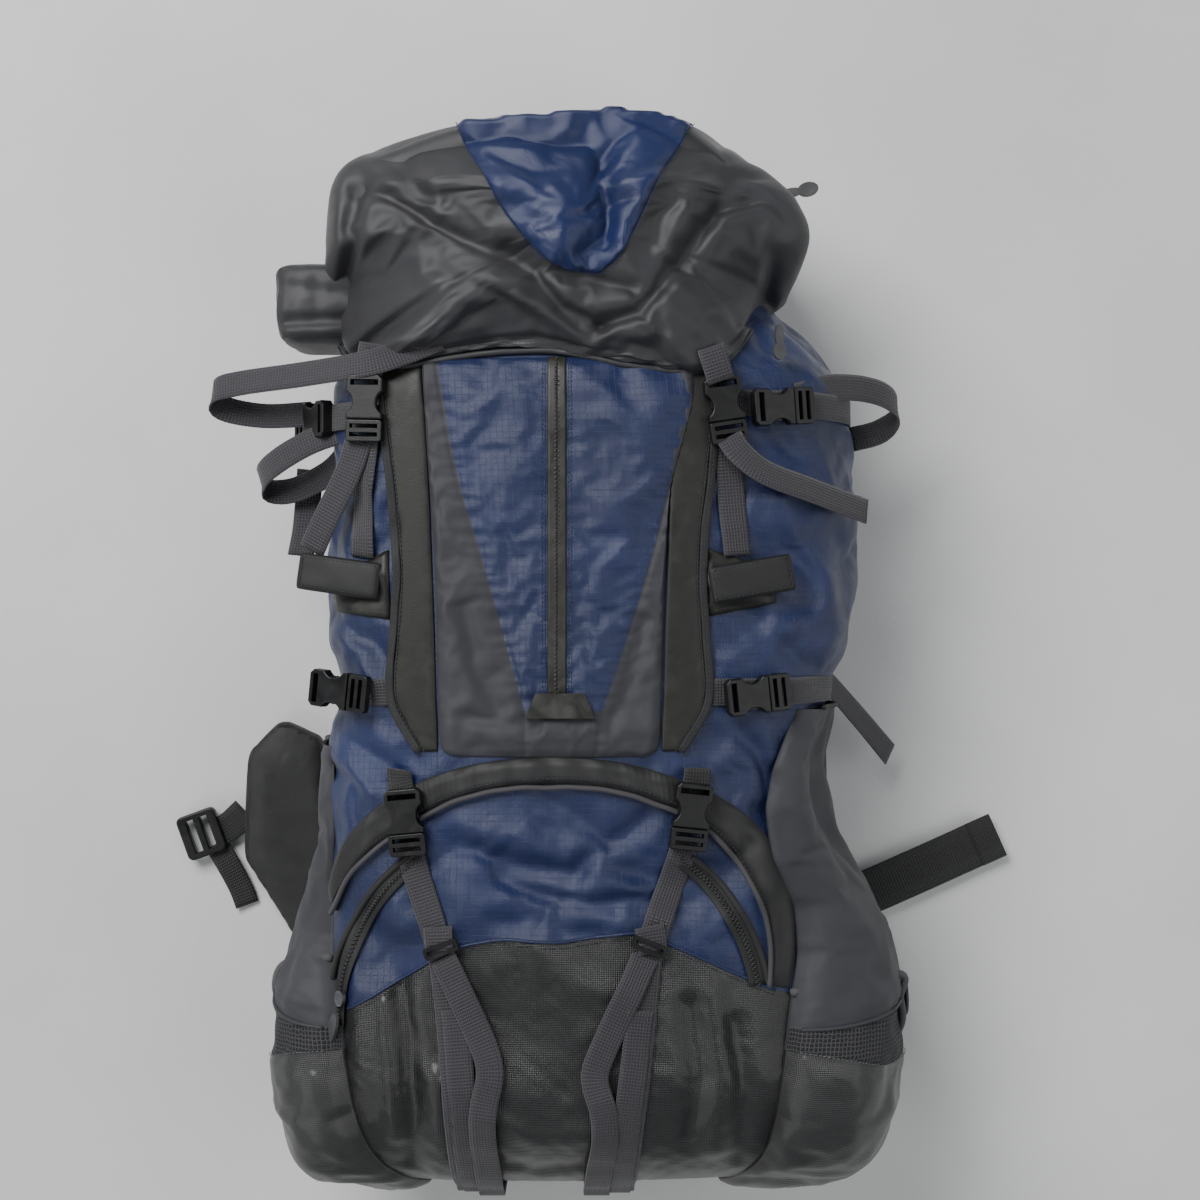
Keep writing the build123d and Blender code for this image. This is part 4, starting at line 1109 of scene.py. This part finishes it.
def lower_straps():
    """Straps from the lower buckles through the glides and over the base, with doubled spare webbing."""
    runs = [("left", [(-133, -128), (-125, -158), (-109, -206), (-103, -250), (-99, -300), (-96, -350),
                      (-94, -388), (-93, -398)],
             [(-106, -212), (-94, -240), (-80, -272), (-72, -296), (-77, -318), (-78, -345), (-76, -385),
              (-76, -397)]),
            ("right", [(70, -124), (60, -155), (43, -206), (38, -250), (33, -300), (27, -350), (24, -388),
                       (23, -398)],
             [(39, -212), (24, -244), (10, -276), (2, -300), (9, -320), (9, -348), (5, -385), (4, -397)])]
    tacks = []
    for word, main, spare in runs:
        centres, normals = over_base(mm(*main), 0.0026)
        piece, top, across, up = strap(f"{word}_lower_strap", centres, normals, WEBBING)
        if word == "left":
            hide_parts("lower_straps")
        for index in (17, 19, 21):
            tacks += bar_tack(top, across, up, index, rows=2)
        centres, normals = over_base(mm(*spare), 0.0052, 0.09)
        strap(f"{word}_lower_spare", centres, normals, WEBBING)
        under = [(x + (5 if word == "left" else -3), y) for x, y in main[3:]]
        centres, normals = over_base(mm(*under), 0.0038, 0.08)
        strap(f"{word}_lower_second", centres, normals, WEBBING)
        x, y = main[2]
        keeper, facing = lay(mm((x - 1, y + 16), (x, y + 8), (x + 1, y - 3)), 0.0050)
        strap(f"{word}_glide_loop", keeper, facing, WEBBING, width=0.0215, thick=0.002)
        top_x = -137 if word == "left" else 76
        hang, facing = lay(mm((top_x, -76), (top_x + (1 if word == "left" else -1), -96)), 0.0058)
        strap(f"{word}_lower_hanger", hang, facing, BLACK_WEBBING)
    stitches("lower_strap_tacks", tacks, PALE_STITCH)


lower_straps()


def lid_strap_ends():
    """Webbing from the label tabs up to the lid buckles, with a bar tack stitched on each."""
    tacks = []
    for word, path in (("left", [(-163, 166), (-164, 140), (-165, 110), (-166, 78)]),
                       ("right", [(99, 166), (101, 140), (103, 110), (106, 78)])):
        centres, normals = lay(mm(*path), 0.0030, calm=4)
        piece, top, across, up = strap(f"{word}_lid_strap", centres, normals, WEBBING)
        tacks += bar_tack(top, across, up, 3)
        if word == "left":
            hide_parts("lid_straps")
    stitches("lid_strap_tacks", tacks, PALE_STITCH)


lid_strap_ends()


def tails():
    """Loose webbing ends and loops beside the pack."""
    up, out = (0, 0.25, 1), (-1, 0, 0.2)
    loops = {
        "tail_a": ([(-110, 236, 231), (-134, 226, 233), (-162, 217, 236), (-210, 212, 214),
                    (-262, 208, 190), (-284, 203, 180), (-280, 192, 168), (-250, 186, 166), (-212, 186, 178)],
                   [up, up, up, up, up, out, (-0.2, -0.2, -1), (0, -0.3, -1), (0, -0.2, -1)]),
        "tail_b": ([(-186, 172, 196), (-210, 164, 190), (-234, 152, 180), (-250, 140, 168), (-248, 130, 156),
                    (-228, 130, 156), (-200, 142, 168), (-182, 156, 186)],
                   [up, up, up, (-0.7, 0, 0.7), (-0.8, -0.2, -0.5), (0, -0.2, -1), (0, -0.2, -1),
                    (0, -0.2, -1)]),
        "tail_c": ([(-216, 146, 152), (-218, 125, 148), (-220, 100, 150), (-222, 80, 160)], [up] * 4),
        "tail_d": ([(-168, 166, 226), (-176, 140, 228), (-192, 108, 224), (-205, 82, 216)],
                   [up, (-0.2, 0, 1), (-0.25, 0, 1), (-0.2, 0, 1)]),
        "tail_e": ([(152, 196, 207), (178, 205, 186), (208, 207, 160), (230, 202, 142), (238, 190, 130),
                    (226, 178, 120), (204, 172, 118)],
                   [(0.4, 0, 1), (0.5, 0, 1), (0.5, 0, 1), (0.8, 0, 0.6), (1, -0.2, -0.3), (0.3, -0.2, -1),
                    (0, -0.2, -1)]),
        "tail_f": ([(100, 164, 236), (108, 152, 238), (127, 138, 234), (163, 126, 216), (206, 112, 190)],
                   [(0.1, 0, 1), (0.2, 0.2, 1), (0.3, 0.3, 1), (0.4, 0.3, 1), (0.3, 0.3, 1)]),
        "tail_g": ([(172, -4, 128), (196, -28, 98), (222, -55, 66), (247, -82, 36)],
                   [(0.7, 0.2, 0.7), (0.6, 0.2, 0.7), (0.5, 0.2, 0.8), (0.4, 0.2, 0.9)]),
    }
    for name, (path, facing) in loops.items():
        # tail_d hangs from the lid buckle's male half, so it rides with that half
        body = "left_lid_plug" if name == "tail_d" else "pack"
        piece, _, _, _ = strap(name, mm(*path), np.array(facing, float), WEBBING, body=body)
        if name == "tail_a":
            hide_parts("strap_tails")


tails()


def hip_webbing():
    """Wide belt webbing on the right and the narrower run to the buckle on the left."""
    start, end = np.array([0.222, -0.205, 0.012]), np.array([0.341, -0.152, 0.010])
    path = np.linspace(start, end, 8)
    path[:, 2] += 0.002 * np.sin(np.linspace(0, 3, 8))
    piece, top, across, up = strap("right_belt_webbing", path, (0, 0, 1), BLACK_WEBBING,
                                   width=0.038, thick=0.0018, body="right_wing")
    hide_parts("right_hip_webbing")
    fold = np.linspace(end - (end - start) * 0.16, end + (0.0008, 0.0004, 0), 6) + (0, 0, 0.0017)
    strap("right_belt_fold", fold, (0, 0, 1), BLACK_WEBBING, width=0.0385, thick=0.0018,
          body="right_wing")
    loops = [bar_tack(top, across, up, len(top) - 8, rows=1, half=0.017)[0]]
    stitches("right_belt_tack", loops, STITCH, body="right_wing")
    path = mm((-292, -132, 12), (-305, -144, 10), (-318, -152, 9))
    piece, _, _, _ = strap("left_belt_webbing", path, (0, 0, 1), BLACK_WEBBING, width=0.025,
                           body="left_wing")
    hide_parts("left_hip_webbing")
    strap("left_belt_tail", mm((-318, -160, 7), (-308, -176, 8), (-298, -196, 5), (-292, -212, 4)),
          (0.1, 0, 1), BLACK_WEBBING, width=0.020, body="left_wing")


hip_webbing()


def stabiliser():
    """The small belt stabiliser loop that shows beside the right pocket, with its ladder-lock webbing."""
    strap("stabiliser_loop", mm((206, -214, 62), (224, -212, 58), (238, -222, 54), (241, -238, 50),
                                (232, -254, 46), (216, -262, 44)),
          np.array([(0.2, 0, 1), (0.3, 0, 1), (0.7, 0.2, 0.7), (1, 0, 0.2), (0.7, -0.3, -0.6),
                    (0.2, -0.2, -1)]),
          BLACK_WEBBING, width=0.018)
    strap("stabiliser_tail", mm((222, -268, 70), (240, -272, 64), (256, -276, 58)), (0.2, 0, 1),
          BLACK_WEBBING, width=0.020)
    corners = mm((243, -262, 66), (254, -262, 63), (256, -290, 61), (245, -290, 64))
    tube("stabiliser_lock", corners + corners[:1], 0.0022, PLASTIC, count=48)
    tube("stabiliser_bar", mm((249.5, -262, 65), (250.5, -290, 62.5)), 0.0018, PLASTIC)


stabiliser()


def haul_loop():
    low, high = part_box("haul_loop")
    y = low.y + 0.006
    path = [(low.x + 0.006, y, high.z - 0.004), (low.x + 0.008, high.y - 0.012, high.z - 0.008),
            (0.5 * (low.x + high.x), high.y - 0.003, high.z - 0.010),
            (high.x - 0.008, high.y - 0.012, high.z - 0.008), (high.x - 0.006, y, high.z - 0.004)]
    piece = tube("haul_loop_webbing", path, 0.0045, BLACK_WEBBING, count=40)
    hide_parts("haul_loop")


haul_loop()


# ---------------------------------------------------------------- lid
LID_FOLDS = [
    (mm((-171, 345), (-143, 336), (-112, 315), (-77, 298), (-42, 280), (-21, 256), (7, 243)), 5.5, -8),
    (mm((118, 336), (90, 326), (69, 301), (52, 273), (34, 252), (7, 243)), 5.5, -8),
    (mm((-150, 308), (-100, 276), (-60, 258), (-20, 242)), 14, 5),
    (mm((110, 296), (70, 262), (40, 240)), 14, 4),
    (mm((2, 392), (8, 350), (13, 300)), 8, -8),
    (mm((-60, 380), (-44, 340), (-20, 305)), 15, 5),
    (mm((42, 380), (36, 335), (26, 305)), 12, 5),
    (mm((-118, 350), (-92, 322), (-68, 302)), 10, 6),
    (mm((-100, 330), (-78, 308), (-50, 288)), 6, -5),
    (mm((-138, 366), (-122, 342), (-104, 334)), 8, -6),
    (mm((-168, 352), (-176, 318), (-178, 284)), 7, -5),
    (mm((-188, 330), (-190, 290), (-184, 250)), 8, 4),
    (mm((80, 366), (70, 330), (56, 296)), 9, 6),
    (mm((100, 352), (86, 318), (66, 286)), 6, -5),
    (mm((-160, 240), (-120, 234), (-80, 238)), 8, 4),
    (mm((-110, 282), (-70, 262), (-36, 240)), 5, -5),
    (mm((-44, 268), (-20, 250), (0, 236)), 5, -4),
    (mm((60, 232), (84, 250), (112, 276)), 8, 4),
    (mm((-60, 300), (-30, 282), (5, 276), (30, 270)), 6, -6),
]


def lid():
    """The floating lid: a puffy hood with a skirt over the front and deep sides round the collar."""
    outline = mm((-174, 221), (-140, 216), (-113, 220), (-77, 225), (-32, 227), (21, 217), (77, 212),
                 (100, 222), (125, 252), (150, 290), (162, 320), (150, 340), (130, 357), (100, 382),
                 (74, 399), (40, 406), (7, 408), (-50, 403), (-102, 396), (-150, 381), (-185, 364),
                 (-194, 320), (-197, 262), (-190, 236))
    angles = 176
    rim = spread(outline * 3 + outline[:1], 3 * angles + 1)[angles:2 * angles]
    centre = np.array([-0.012, 0.316])
    high = LID_HIGH.z
    profiles = []
    for x, y in rim:
        reach = math.hypot(x - centre[0], y - centre[1])
        block = float(smooth(0.236, 0.312, y))
        seat = drop(x, y)[0][2] if y < 0.32 else 0.2
        low = (seat + 0.003) * (1 - block) + 0.045 * block
        crown = high - 0.004 - (x - FRONT_X) ** 2 / (1.6 * CROWN_R)
        edge = (low + 0.011) * (1 - block) + (crown - 0.006) * block
        turn = 0.006 * (1 - block) + (0.030 + 0.050 * float(smooth(0.34, 0.40, y))) * block
        turn = min(turn, 0.9 * (edge - low))
        points = []
        for s in np.linspace(0.05, 1.0 - turn / reach, 30):
            px, py = centre[0] + (x - centre[0]) * s, centre[1] + (y - centre[1]) * s
            full = high - 0.004 - (px - FRONT_X) ** 2 / (1.6 * CROWN_R)
            points.append((s * reach, full + (edge - full) * s ** 3.5))
        for a in np.radians((15, 30, 45, 60, 75, 90)):
            points.append((reach - turn + turn * math.sin(a), edge - turn + turn * math.cos(a)))
        for z in np.linspace(edge - turn, low, 11)[1:]:
            points.append((reach, z))
        ceiling = edge - 0.010
        points.append((reach - 0.004, low - 0.0005))
        for z in np.linspace(low, ceiling, 4)[1:]:
            points.append((reach - 0.006, z))
        for s in (0.85, 0.6, 0.35, 0.1):
            points.append(((reach - 0.006) * s, ceiling + (high - 0.026 - ceiling) * (1 - s)))
        profiles.append(points)
    depth = len(profiles[0])
    top_rings = 36
    vertices, cloth, pins = [], [], []
    for r in range(depth):
        for k, (x, y) in enumerate(rim):
            reach = math.hypot(x - centre[0], y - centre[1])
            rho, z = profiles[k][r]
            px = centre[0] + (x - centre[0]) * rho / reach
            py = centre[1] + (y - centre[1]) * rho / reach
            pin = 1.0
            if r < top_rings + 10:
                side = 1.0 if r < top_rings else 0.0
                for path, width, height in LID_FOLDS:
                    fold = 0.001 * height * math.exp(-(distance_to(path, px, py) / (0.001 * width)) ** 2)
                    z += fold * min(1.0, (reach - rho) / 0.006) * side
                z += 0.0020 * wander(px, py, 0.0, 24.0, 9.0) * side
                if r >= top_rings:
                    sway = (0.004 * wander(px * 1.0, py * 1.0, z * 0.4, 20.0, 2.0)
                            * math.sin(math.pi * (r - top_rings) / 10))
                    px += sway * (x - centre[0]) / reach
                    py += sway * (y - centre[1]) / reach
                seam = min(float(distance_to(LID_FOLDS[0][0], px, py)),
                           float(distance_to(LID_FOLDS[1][0], px, py)))
                pin = 0.85 if seam < 0.003 else 0.02
            vertices.append((px, py, z))
            cloth.append((px, py + (0.25 - z if r >= top_rings else 0), 0))
            pins.append(pin)
    faces = [f[::-1] for f in grid_faces(depth, angles, closed=True)]
    faces = grid_faces(depth, angles, closed=True)
    faces.append(tuple(range(angles))[::-1])
    faces.append(tuple((depth - 1) * angles + k for k in range(angles)))
    faces = [f[::-1] for f in faces]
    piece = make("lid_hood", vertices, faces, [GREY], "lid", cloth)
    settle(piece, pins, growth=0.05, pressure=0.8, frames=16, cap=0.009, bend=0.2)
    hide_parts("lid_shell")
    hem = [np.array(vertices[(top_rings + 9) * angles + k]) for k in range(angles)]
    front = [p for p in hem if p[1] < 0.262]
    front.sort(key=lambda p: p[0])
    tube("lid_hem_roll", front, 0.0022, GREY, body="lid", count=150)
    return piece, front


lid_piece, lid_hem = lid()
LID_TREE = tree_of(lid_piece)
rounder(lid_piece)


def lid_trim():
    """Blue centre panel, its puckered seam, and the straps that hang from the hem."""
    left = mm((-101, 402), (-90, 372), (-78, 351), (-64, 326), (-50, 307), (-32, 289), (-8, 280))
    right = mm((77, 402), (64, 374), (53, 355), (40, 328), (29, 305), (20, 290), (6, 279))

    def pucker(x, y, border):
        return 0.0016 * wander(x, y, 0, 24.0, 4.0) * (border > 0)

    piece, rows, width, _ = patch("lid_blue_panel", [left, right], [34], 50, 0.0034, [LID_BLUE],
                                  tree=LID_TREE, lift=pucker, body="lid")
    pins = np.ones(2 * rows * width)
    for i in range(1, rows - 1):
        pins[i * width + 1:(i + 1) * width - 1] = 0.0
    settle(piece, pins, growth=0.025, pressure=0.5, frames=12, cap=0.005, bend=1.5)
    rounder(piece)
    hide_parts("lid_panel")
    border = left[:-1] + right[::-1]
    centres, _ = lay(border, 0.0020, LID_TREE, calm=0)
    stitches("lid_panel_stitching", [centres], BLUE_STITCH, body="lid")
    hem = np.array(lid_hem)
    stitches("lid_hem_stitching", [hem + (0, 0.006, 0.0062)], STITCH, body="lid")
    for word, path in (("left", [(-158, 232, 232), (-160, 220, 232), (-162, 206, 233)]),
                       ("right", [(86, 228, 244), (90, 216, 243), (94, 204, 239)])):
        strap(f"{word}_lid_hanger", mm(*path), (0, 0.1, 1), WEBBING, body="lid")


lid_trim()


# ---------------------------------------------------------------- side pockets and collar
def side_pocket(side):
    """Stretch pocket with a coated cup, a mesh window and an elastic edge, bulging off the bag's side."""
    word = "right" if side > 0 else "left"
    if side > 0:
        inner_line = mm((160, -33), (152, -53), (137, -76), (128, -106), (133, -144), (150, -180),
                        (151, -215), (146, -250), (141, -290), (136, -330), (128, -372), (118, -403))
        reach = 0.042
    else:
        inner_line = mm((-192, -62), (-193, -80), (-192, -106), (-191, -130), (-193, -160), (-196, -190),
                        (-192, -220), (-184, -252), (-180, -290), (-173, -330), (-160, -372), (-150, -403))
        reach = 0.048
    inner_line = np.array(inner_line)
    top = inner_line[0][1]
    bottom = BASE + 0.002
    outer_column = float(side_column(0.040, side))
    across = 40
    t = np.linspace(0, 1, across)
    window_top = -0.268 + (0.010 if side > 0 else 0.018) * smooth(0.0, 0.5, t)
    window_low = -0.284 - 0.016 * smooth(0.0, 0.4, t)
    bands = [(np.full(across, top), window_top, 56), (window_top, window_low, 12),
             (window_low, np.full(across, bottom), 30)]
    rows = []
    for start, end, count in bands:
        for f in np.linspace(0, 1, count, endpoint=False):
            rows.append(start + (end - start) * f)
    rows.append(np.full(across, bottom))
    rows = np.array(rows)
    pocket_open = [rows[0] - 0.045, rows[0] - 0.02, rows[0] - 0.004]
    depths = [0.05, 0.5, 0.9]
    grid_y = np.vstack(pocket_open + [rows])
    inner_columns = np.zeros(grid_y.shape)
    for i, row in enumerate(grid_y):
        x = np.interp(-row, -inner_line[:, 1], inner_line[:, 0])
        if side > 0:
            inner_columns[i] = column_of(x)
        else:
            inner_columns[i] = np.interp(-x, -SECTION[CROWN_START:CROWN_END, 0],
                                         np.arange(CROWN_START, CROWN_END))
    columns = inner_columns + (outer_column - inner_columns) * t
    points, normals = on_form(columns, grid_y)
    swell = np.interp(-grid_y, [0.03, 0.06, 0.14, 0.18, 0.21, 0.25, 0.30, 0.335, 0.365, 0.39, 0.404],
                      [0.006, 0.009, 0.013, 0.022, 0.032, reach - 0.002, reach, 0.92 * reach, 0.70 * reach,
                       0.38 * reach, 0.012])
    lobe = np.sin(np.pi * np.clip(t, 0, 1) ** 0.8) ** 0.7
    bulge = 0.0012 + swell * lobe
    for i, depth in enumerate(depths):
        bulge[i] = 0.001 + (bulge[3] - 0.0025) * depth
    place = points + normals * bulge[..., None]
    height, width = grid_y.shape
    for i in range(3, height):
        for j in range(1, width - 1):
            x, y, z = place[i, j]
            soft = 0.0035 * wander(x * 0.6 + 0.5 * z, y * 0.5, z, 22.0, 12.0 + side)
            soft += 0.004 * math.sin(t[j] * 16 + y * 10) * math.exp(-((y + 0.13) / 0.08) ** 2)
            place[i, j] += normals[i, j] * soft * lobe[j]
    place[..., 2] = np.maximum(place[..., 2], 0.030)
    under = points - normals * 0.001
    run = np.concatenate([np.zeros((height, 1)),
                          np.cumsum(np.linalg.norm(np.diff(place, axis=1), axis=2), axis=1)], 1)
    cloth = np.stack([run, grid_y, 0 * run], axis=-1).reshape(-1, 3)
    faces = grid_faces(height, width)
    first_window, first_cup = 3 + 56, 3 + 56 + 12
    picks = [0 if f[0] // width < first_window else (1 if f[0] // width < first_cup else 2) for f in faces]
    offset = height * width
    faces += [f[::-1] for f in grid_faces(height, width, offset=offset)]
    picks += [0] * ((height - 1) * (width - 1))
    loop = ([j for j in range(width)] + [i * width + width - 1 for i in range(1, height)]
            + [(height - 1) * width + j for j in range(width - 2, -1, -1)]
            + [i * width for i in range(height - 2, 0, -1)])
    for a, b in zip(loop, loop[1:] + loop[:1]):
        faces.append((b, a, a + offset, b + offset))
        picks.append(2 if min(a, b) // width >= first_cup else 0)
    if side < 0:
        faces = [f[::-1] for f in faces]
    piece = make(f"{word}_side_pocket_cloth", np.vstack([place.reshape(-1, 3), under.reshape(-1, 3)]), faces,
                 [STRETCH, NET, CUP], "pack", np.vstack([cloth, cloth]), picks)
    pins = np.ones(2 * height * width)
    for i in range(5, height - 1):
        if i not in (first_window, first_cup):
            pins[i * width + 1:(i + 1) * width - 1] = 0.0
    settle(piece, pins, growth=0.03, pressure=0.6, frames=12, cap=0.006, bend=0.5)
    rounder(piece)
    nodes_here = [f"{word}_side_pocket"] + (["pocket_cups"] if side > 0 else [])
    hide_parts(*nodes_here)
    surface = BVHTree.FromPolygons([tuple(p) for p in place.reshape(-1, 3)], grid_faces(height, width))
    arc_path = [(150, -247), (172, -249), (200, -257), (222, -278), (236, -312)]
    if side < 0:
        arc_path = [(-186, -247), (-206, -245), (-228, -255), (-240, -276), (-246, -300)]
    piping = []
    for x, y in mm(*arc_path):
        spot, _, _, _ = surface.find_nearest(Vector((x, y, 0.15 if abs(x) < 0.23 else 0.11)))
        piping.append(np.array(spot) + (0, 0, 0.003))
    tube(f"{word}_pocket_piping", piping, 0.0030, PIPING, count=60)
    fold = place[first_window] + normals[first_window] * 0.0010
    tube(f"{word}_window_hem", fold[1:-1:3], 0.0014, STRETCH, count=60)
    lip = place[3] + normals[3] * 0.0004
    tube(f"{word}_pocket_hem", lip[8:34:3], 0.0018, BINDING, count=60)
    cup_line = place[first_cup] + normals[first_cup] * 0.0012
    stitches(f"{word}_cup_stitching", [cup_line[1:-1]], PALE_STITCH)
    return piece


for side in (-1, 1):
    side_pocket(side)


def divider():
    """The cloth partition over the lower compartment, with its large drawcord opening."""
    low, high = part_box("divider")
    y = 0.5 * (low.y + high.y)
    points, _ = on_form(np.arange(COLUMNS, dtype=float), np.full(COLUMNS, y))
    centre = points.mean(axis=0)
    outer = centre + (points - centre) * 0.955
    turn = np.arctan2(points[:, 2] - centre[2], points[:, 0] - centre[0])
    hole = centre + np.stack([0.120 * np.cos(turn), 0 * turn, 0.055 * np.sin(turn)], axis=1)
    rings = [outer + (outer * 0 + [0, 0.001, 0])]
    for share in (0.5, 1.0):
        rings.append(outer + (hole - outer) * share + [0, 0.001 + 0.004 * share, 0])
    for share in (1.0, 0.5, 0.0):
        rings.append(outer + (hole - outer) * share + [0, -0.001 + 0.004 * share, 0])
    vertices = np.vstack(rings)
    faces = grid_faces(len(rings), COLUMNS, closed=True)
    last = (len(rings) - 1) * COLUMNS
    for j in range(COLUMNS):
        k = (j + 1) % COLUMNS
        faces.append((last + j, last + k, k, j))
    cloth = np.stack([vertices[:, 0], vertices[:, 2], 0 * vertices[:, 0]], axis=1)
    piece = make("divider_cloth", vertices, faces, [LINING], "pack", cloth)
    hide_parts("divider")


divider()


def box_mapped(mesh):
    """Weave coordinates for a remeshed piece, from whichever way each point faces."""
    attribute = mesh.attributes.get("cloth") or mesh.attributes.new("cloth", "FLOAT_VECTOR", "POINT")
    flat = np.zeros((len(mesh.vertices), 3), np.float32)
    for index, vertex in enumerate(mesh.vertices):
        x, y, z = vertex.co
        nx, ny, nz = (abs(v) for v in vertex.normal)
        flat[index] = (x, y, 0) if nz >= max(nx, ny) else ((y, z, 0) if nx > ny else (x, z, 0))
    attribute.data.foreach_set("vector", flat.ravel())


def puff(node, name, material, body, voxel=0.005, pressure=3.0, cap=0.004,
         crease=None):
    """A padded piece: the CAD solid remeshed, swollen as cloth, and rounded."""
    source = nodes[node]
    piece = bpy.data.objects.new(name, source.data.copy())
    bpy.context.scene.collection.objects.link(piece)
    modifier = piece.modifiers.new("voxels", "REMESH")
    modifier.mode = "VOXEL"
    modifier.voxel_size = voxel
    soften = piece.modifiers.new("soften", "SMOOTH")
    soften.factor = 0.5
    soften.iterations = 6
    graph = bpy.context.evaluated_depsgraph_get()
    mesh = bpy.data.meshes.new_from_object(piece.evaluated_get(graph))
    piece.modifiers.clear()
    piece.data = mesh
    mesh.materials.clear()
    mesh.materials.append(material)
    mesh.polygons.foreach_set("use_smooth", [True] * len(mesh.polygons))
    mesh.polygons.foreach_set("material_index", [0] * len(mesh.polygons))
    box_mapped(mesh)
    settle(piece, [0.0] * len(mesh.vertices), growth=0.02, pressure=pressure, frames=12, cap=cap)
    points = read_points(piece.data)
    if crease is not None:
        for index, (x, y, z) in enumerate(points):
            dip = 0.007 * math.exp(-((y - crease - 0.04 * (x + 0.2)) / 0.0035) ** 2)
            dip += 0.0025 * math.exp(-((y - crease - 0.022 + 0.1 * (x + 0.2)) / 0.004) ** 2)
            points[index, 2] += 0.0035 * wander(x, y * 0.4, z, 40.0, 21.0) - dip * (z > 0.14)
            points[index, 0] += 0.004 * wander(y, z, 0.0, 30.0, 23.0)
    points[:, 2] = np.maximum(points[:, 2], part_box(node)[0].z)
    piece.data.vertices.foreach_set("co", points.ravel())
    piece.data.update()
    rounder(piece)
    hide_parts(node)
    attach(piece, body)
    return piece


puff("shoulder_straps", "shoulder_strap_pads", FOAM, "pack", cap=0.003)
puff("back_pads", "back_panel_pads", FOAM, "pack", voxel=0.004, cap=0.002)
puff("lumbar_pad", "lumbar_pad_foam", FOAM, "pack", cap=0.002)
puff("left_hip_wing", "left_hip_wing_pad", DARK, "left_wing", cap=0.003)
puff("right_hip_wing", "right_hip_wing_pad", DARK, "right_wing", cap=0.003)
puff("collar_fold", "collar_fold_cloth", GREY, "pack", voxel=0.004, pressure=0.5, cap=0.002,
     crease=0.256)


# ---------------------------------------------------------------- CAD parts that stay
KEPT = {
    "front_zip_slider": METAL, "lower_zip_slider": METAL, "lower_zip_pull": PULL, "shoulder_zip_pull": PULL,
    "lid_zip_pull": PULL, "zip_garage": GARAGE, "hip_buckle": PLASTIC, "lower_strap_glides": PLASTIC,
    "frame_sheet": FRAME, "frame_stays": STAY, "belt_pivots": PLASTIC,
}
for name, node in nodes.items():
    finish = PLASTIC if name.endswith(("_female", "_male")) else KEPT.get(name)
    if finish is None:
        continue
    if not node.data.materials:
        node.data.materials.append(finish)
    for slot in node.material_slots:
        slot.material = finish


# ---------------------------------------------------------------- floor, light and camera
def studio():
    floor = bpy.data.meshes.new("floor")
    size = 6.0
    floor.from_pydata([(-size, -size, 0), (size, -size, 0), (size, size, 0), (-size, size, 0)], [],
                      [(0, 1, 2, 3)])
    floor.materials.append(ground("pale_floor"))
    plane = bpy.data.objects.new("floor", floor)
    plane.location.z = -0.0004
    bpy.context.scene.collection.objects.link(plane)
    for name, place, size, power, aim in (("key", (-1.0, 1.3, 2.0), 1.3, 74, (0, 0, 0.1)),
                                          ("fill", (1.7, -0.3, 1.7), 2.0, 22, (0, 0, 0.1)),
                                          ("low", (-1.6, -1.3, 1.5), 1.8, 16, (0, 0, 0.1))):
        data = bpy.data.lights.new(name, "AREA")
        data.size = size
        data.energy = power
        lamp = bpy.data.objects.new(name, data)
        lamp.location = place
        lamp.rotation_euler = (Vector(aim) - Vector(place)).to_track_quat("-Z", "Y").to_euler()
        bpy.context.scene.collection.objects.link(lamp)
    world = bpy.data.worlds.new("studio")
    world.use_nodes = True
    world.node_tree.nodes["Background"].inputs[0].default_value = (0.80, 0.85, 0.92, 1)
    world.node_tree.nodes["Background"].inputs[1].default_value = 0.24
    bpy.context.scene.world = world
    lens = bpy.data.cameras.new("camera")
    lens.lens = 56.0
    lens.sensor_width = 36.0
    camera = bpy.data.objects.new("camera", lens)
    camera.location = (0.0066, 0.046, 1.585)
    bpy.context.scene.collection.objects.link(camera)
    bpy.context.scene.camera = camera


studio()
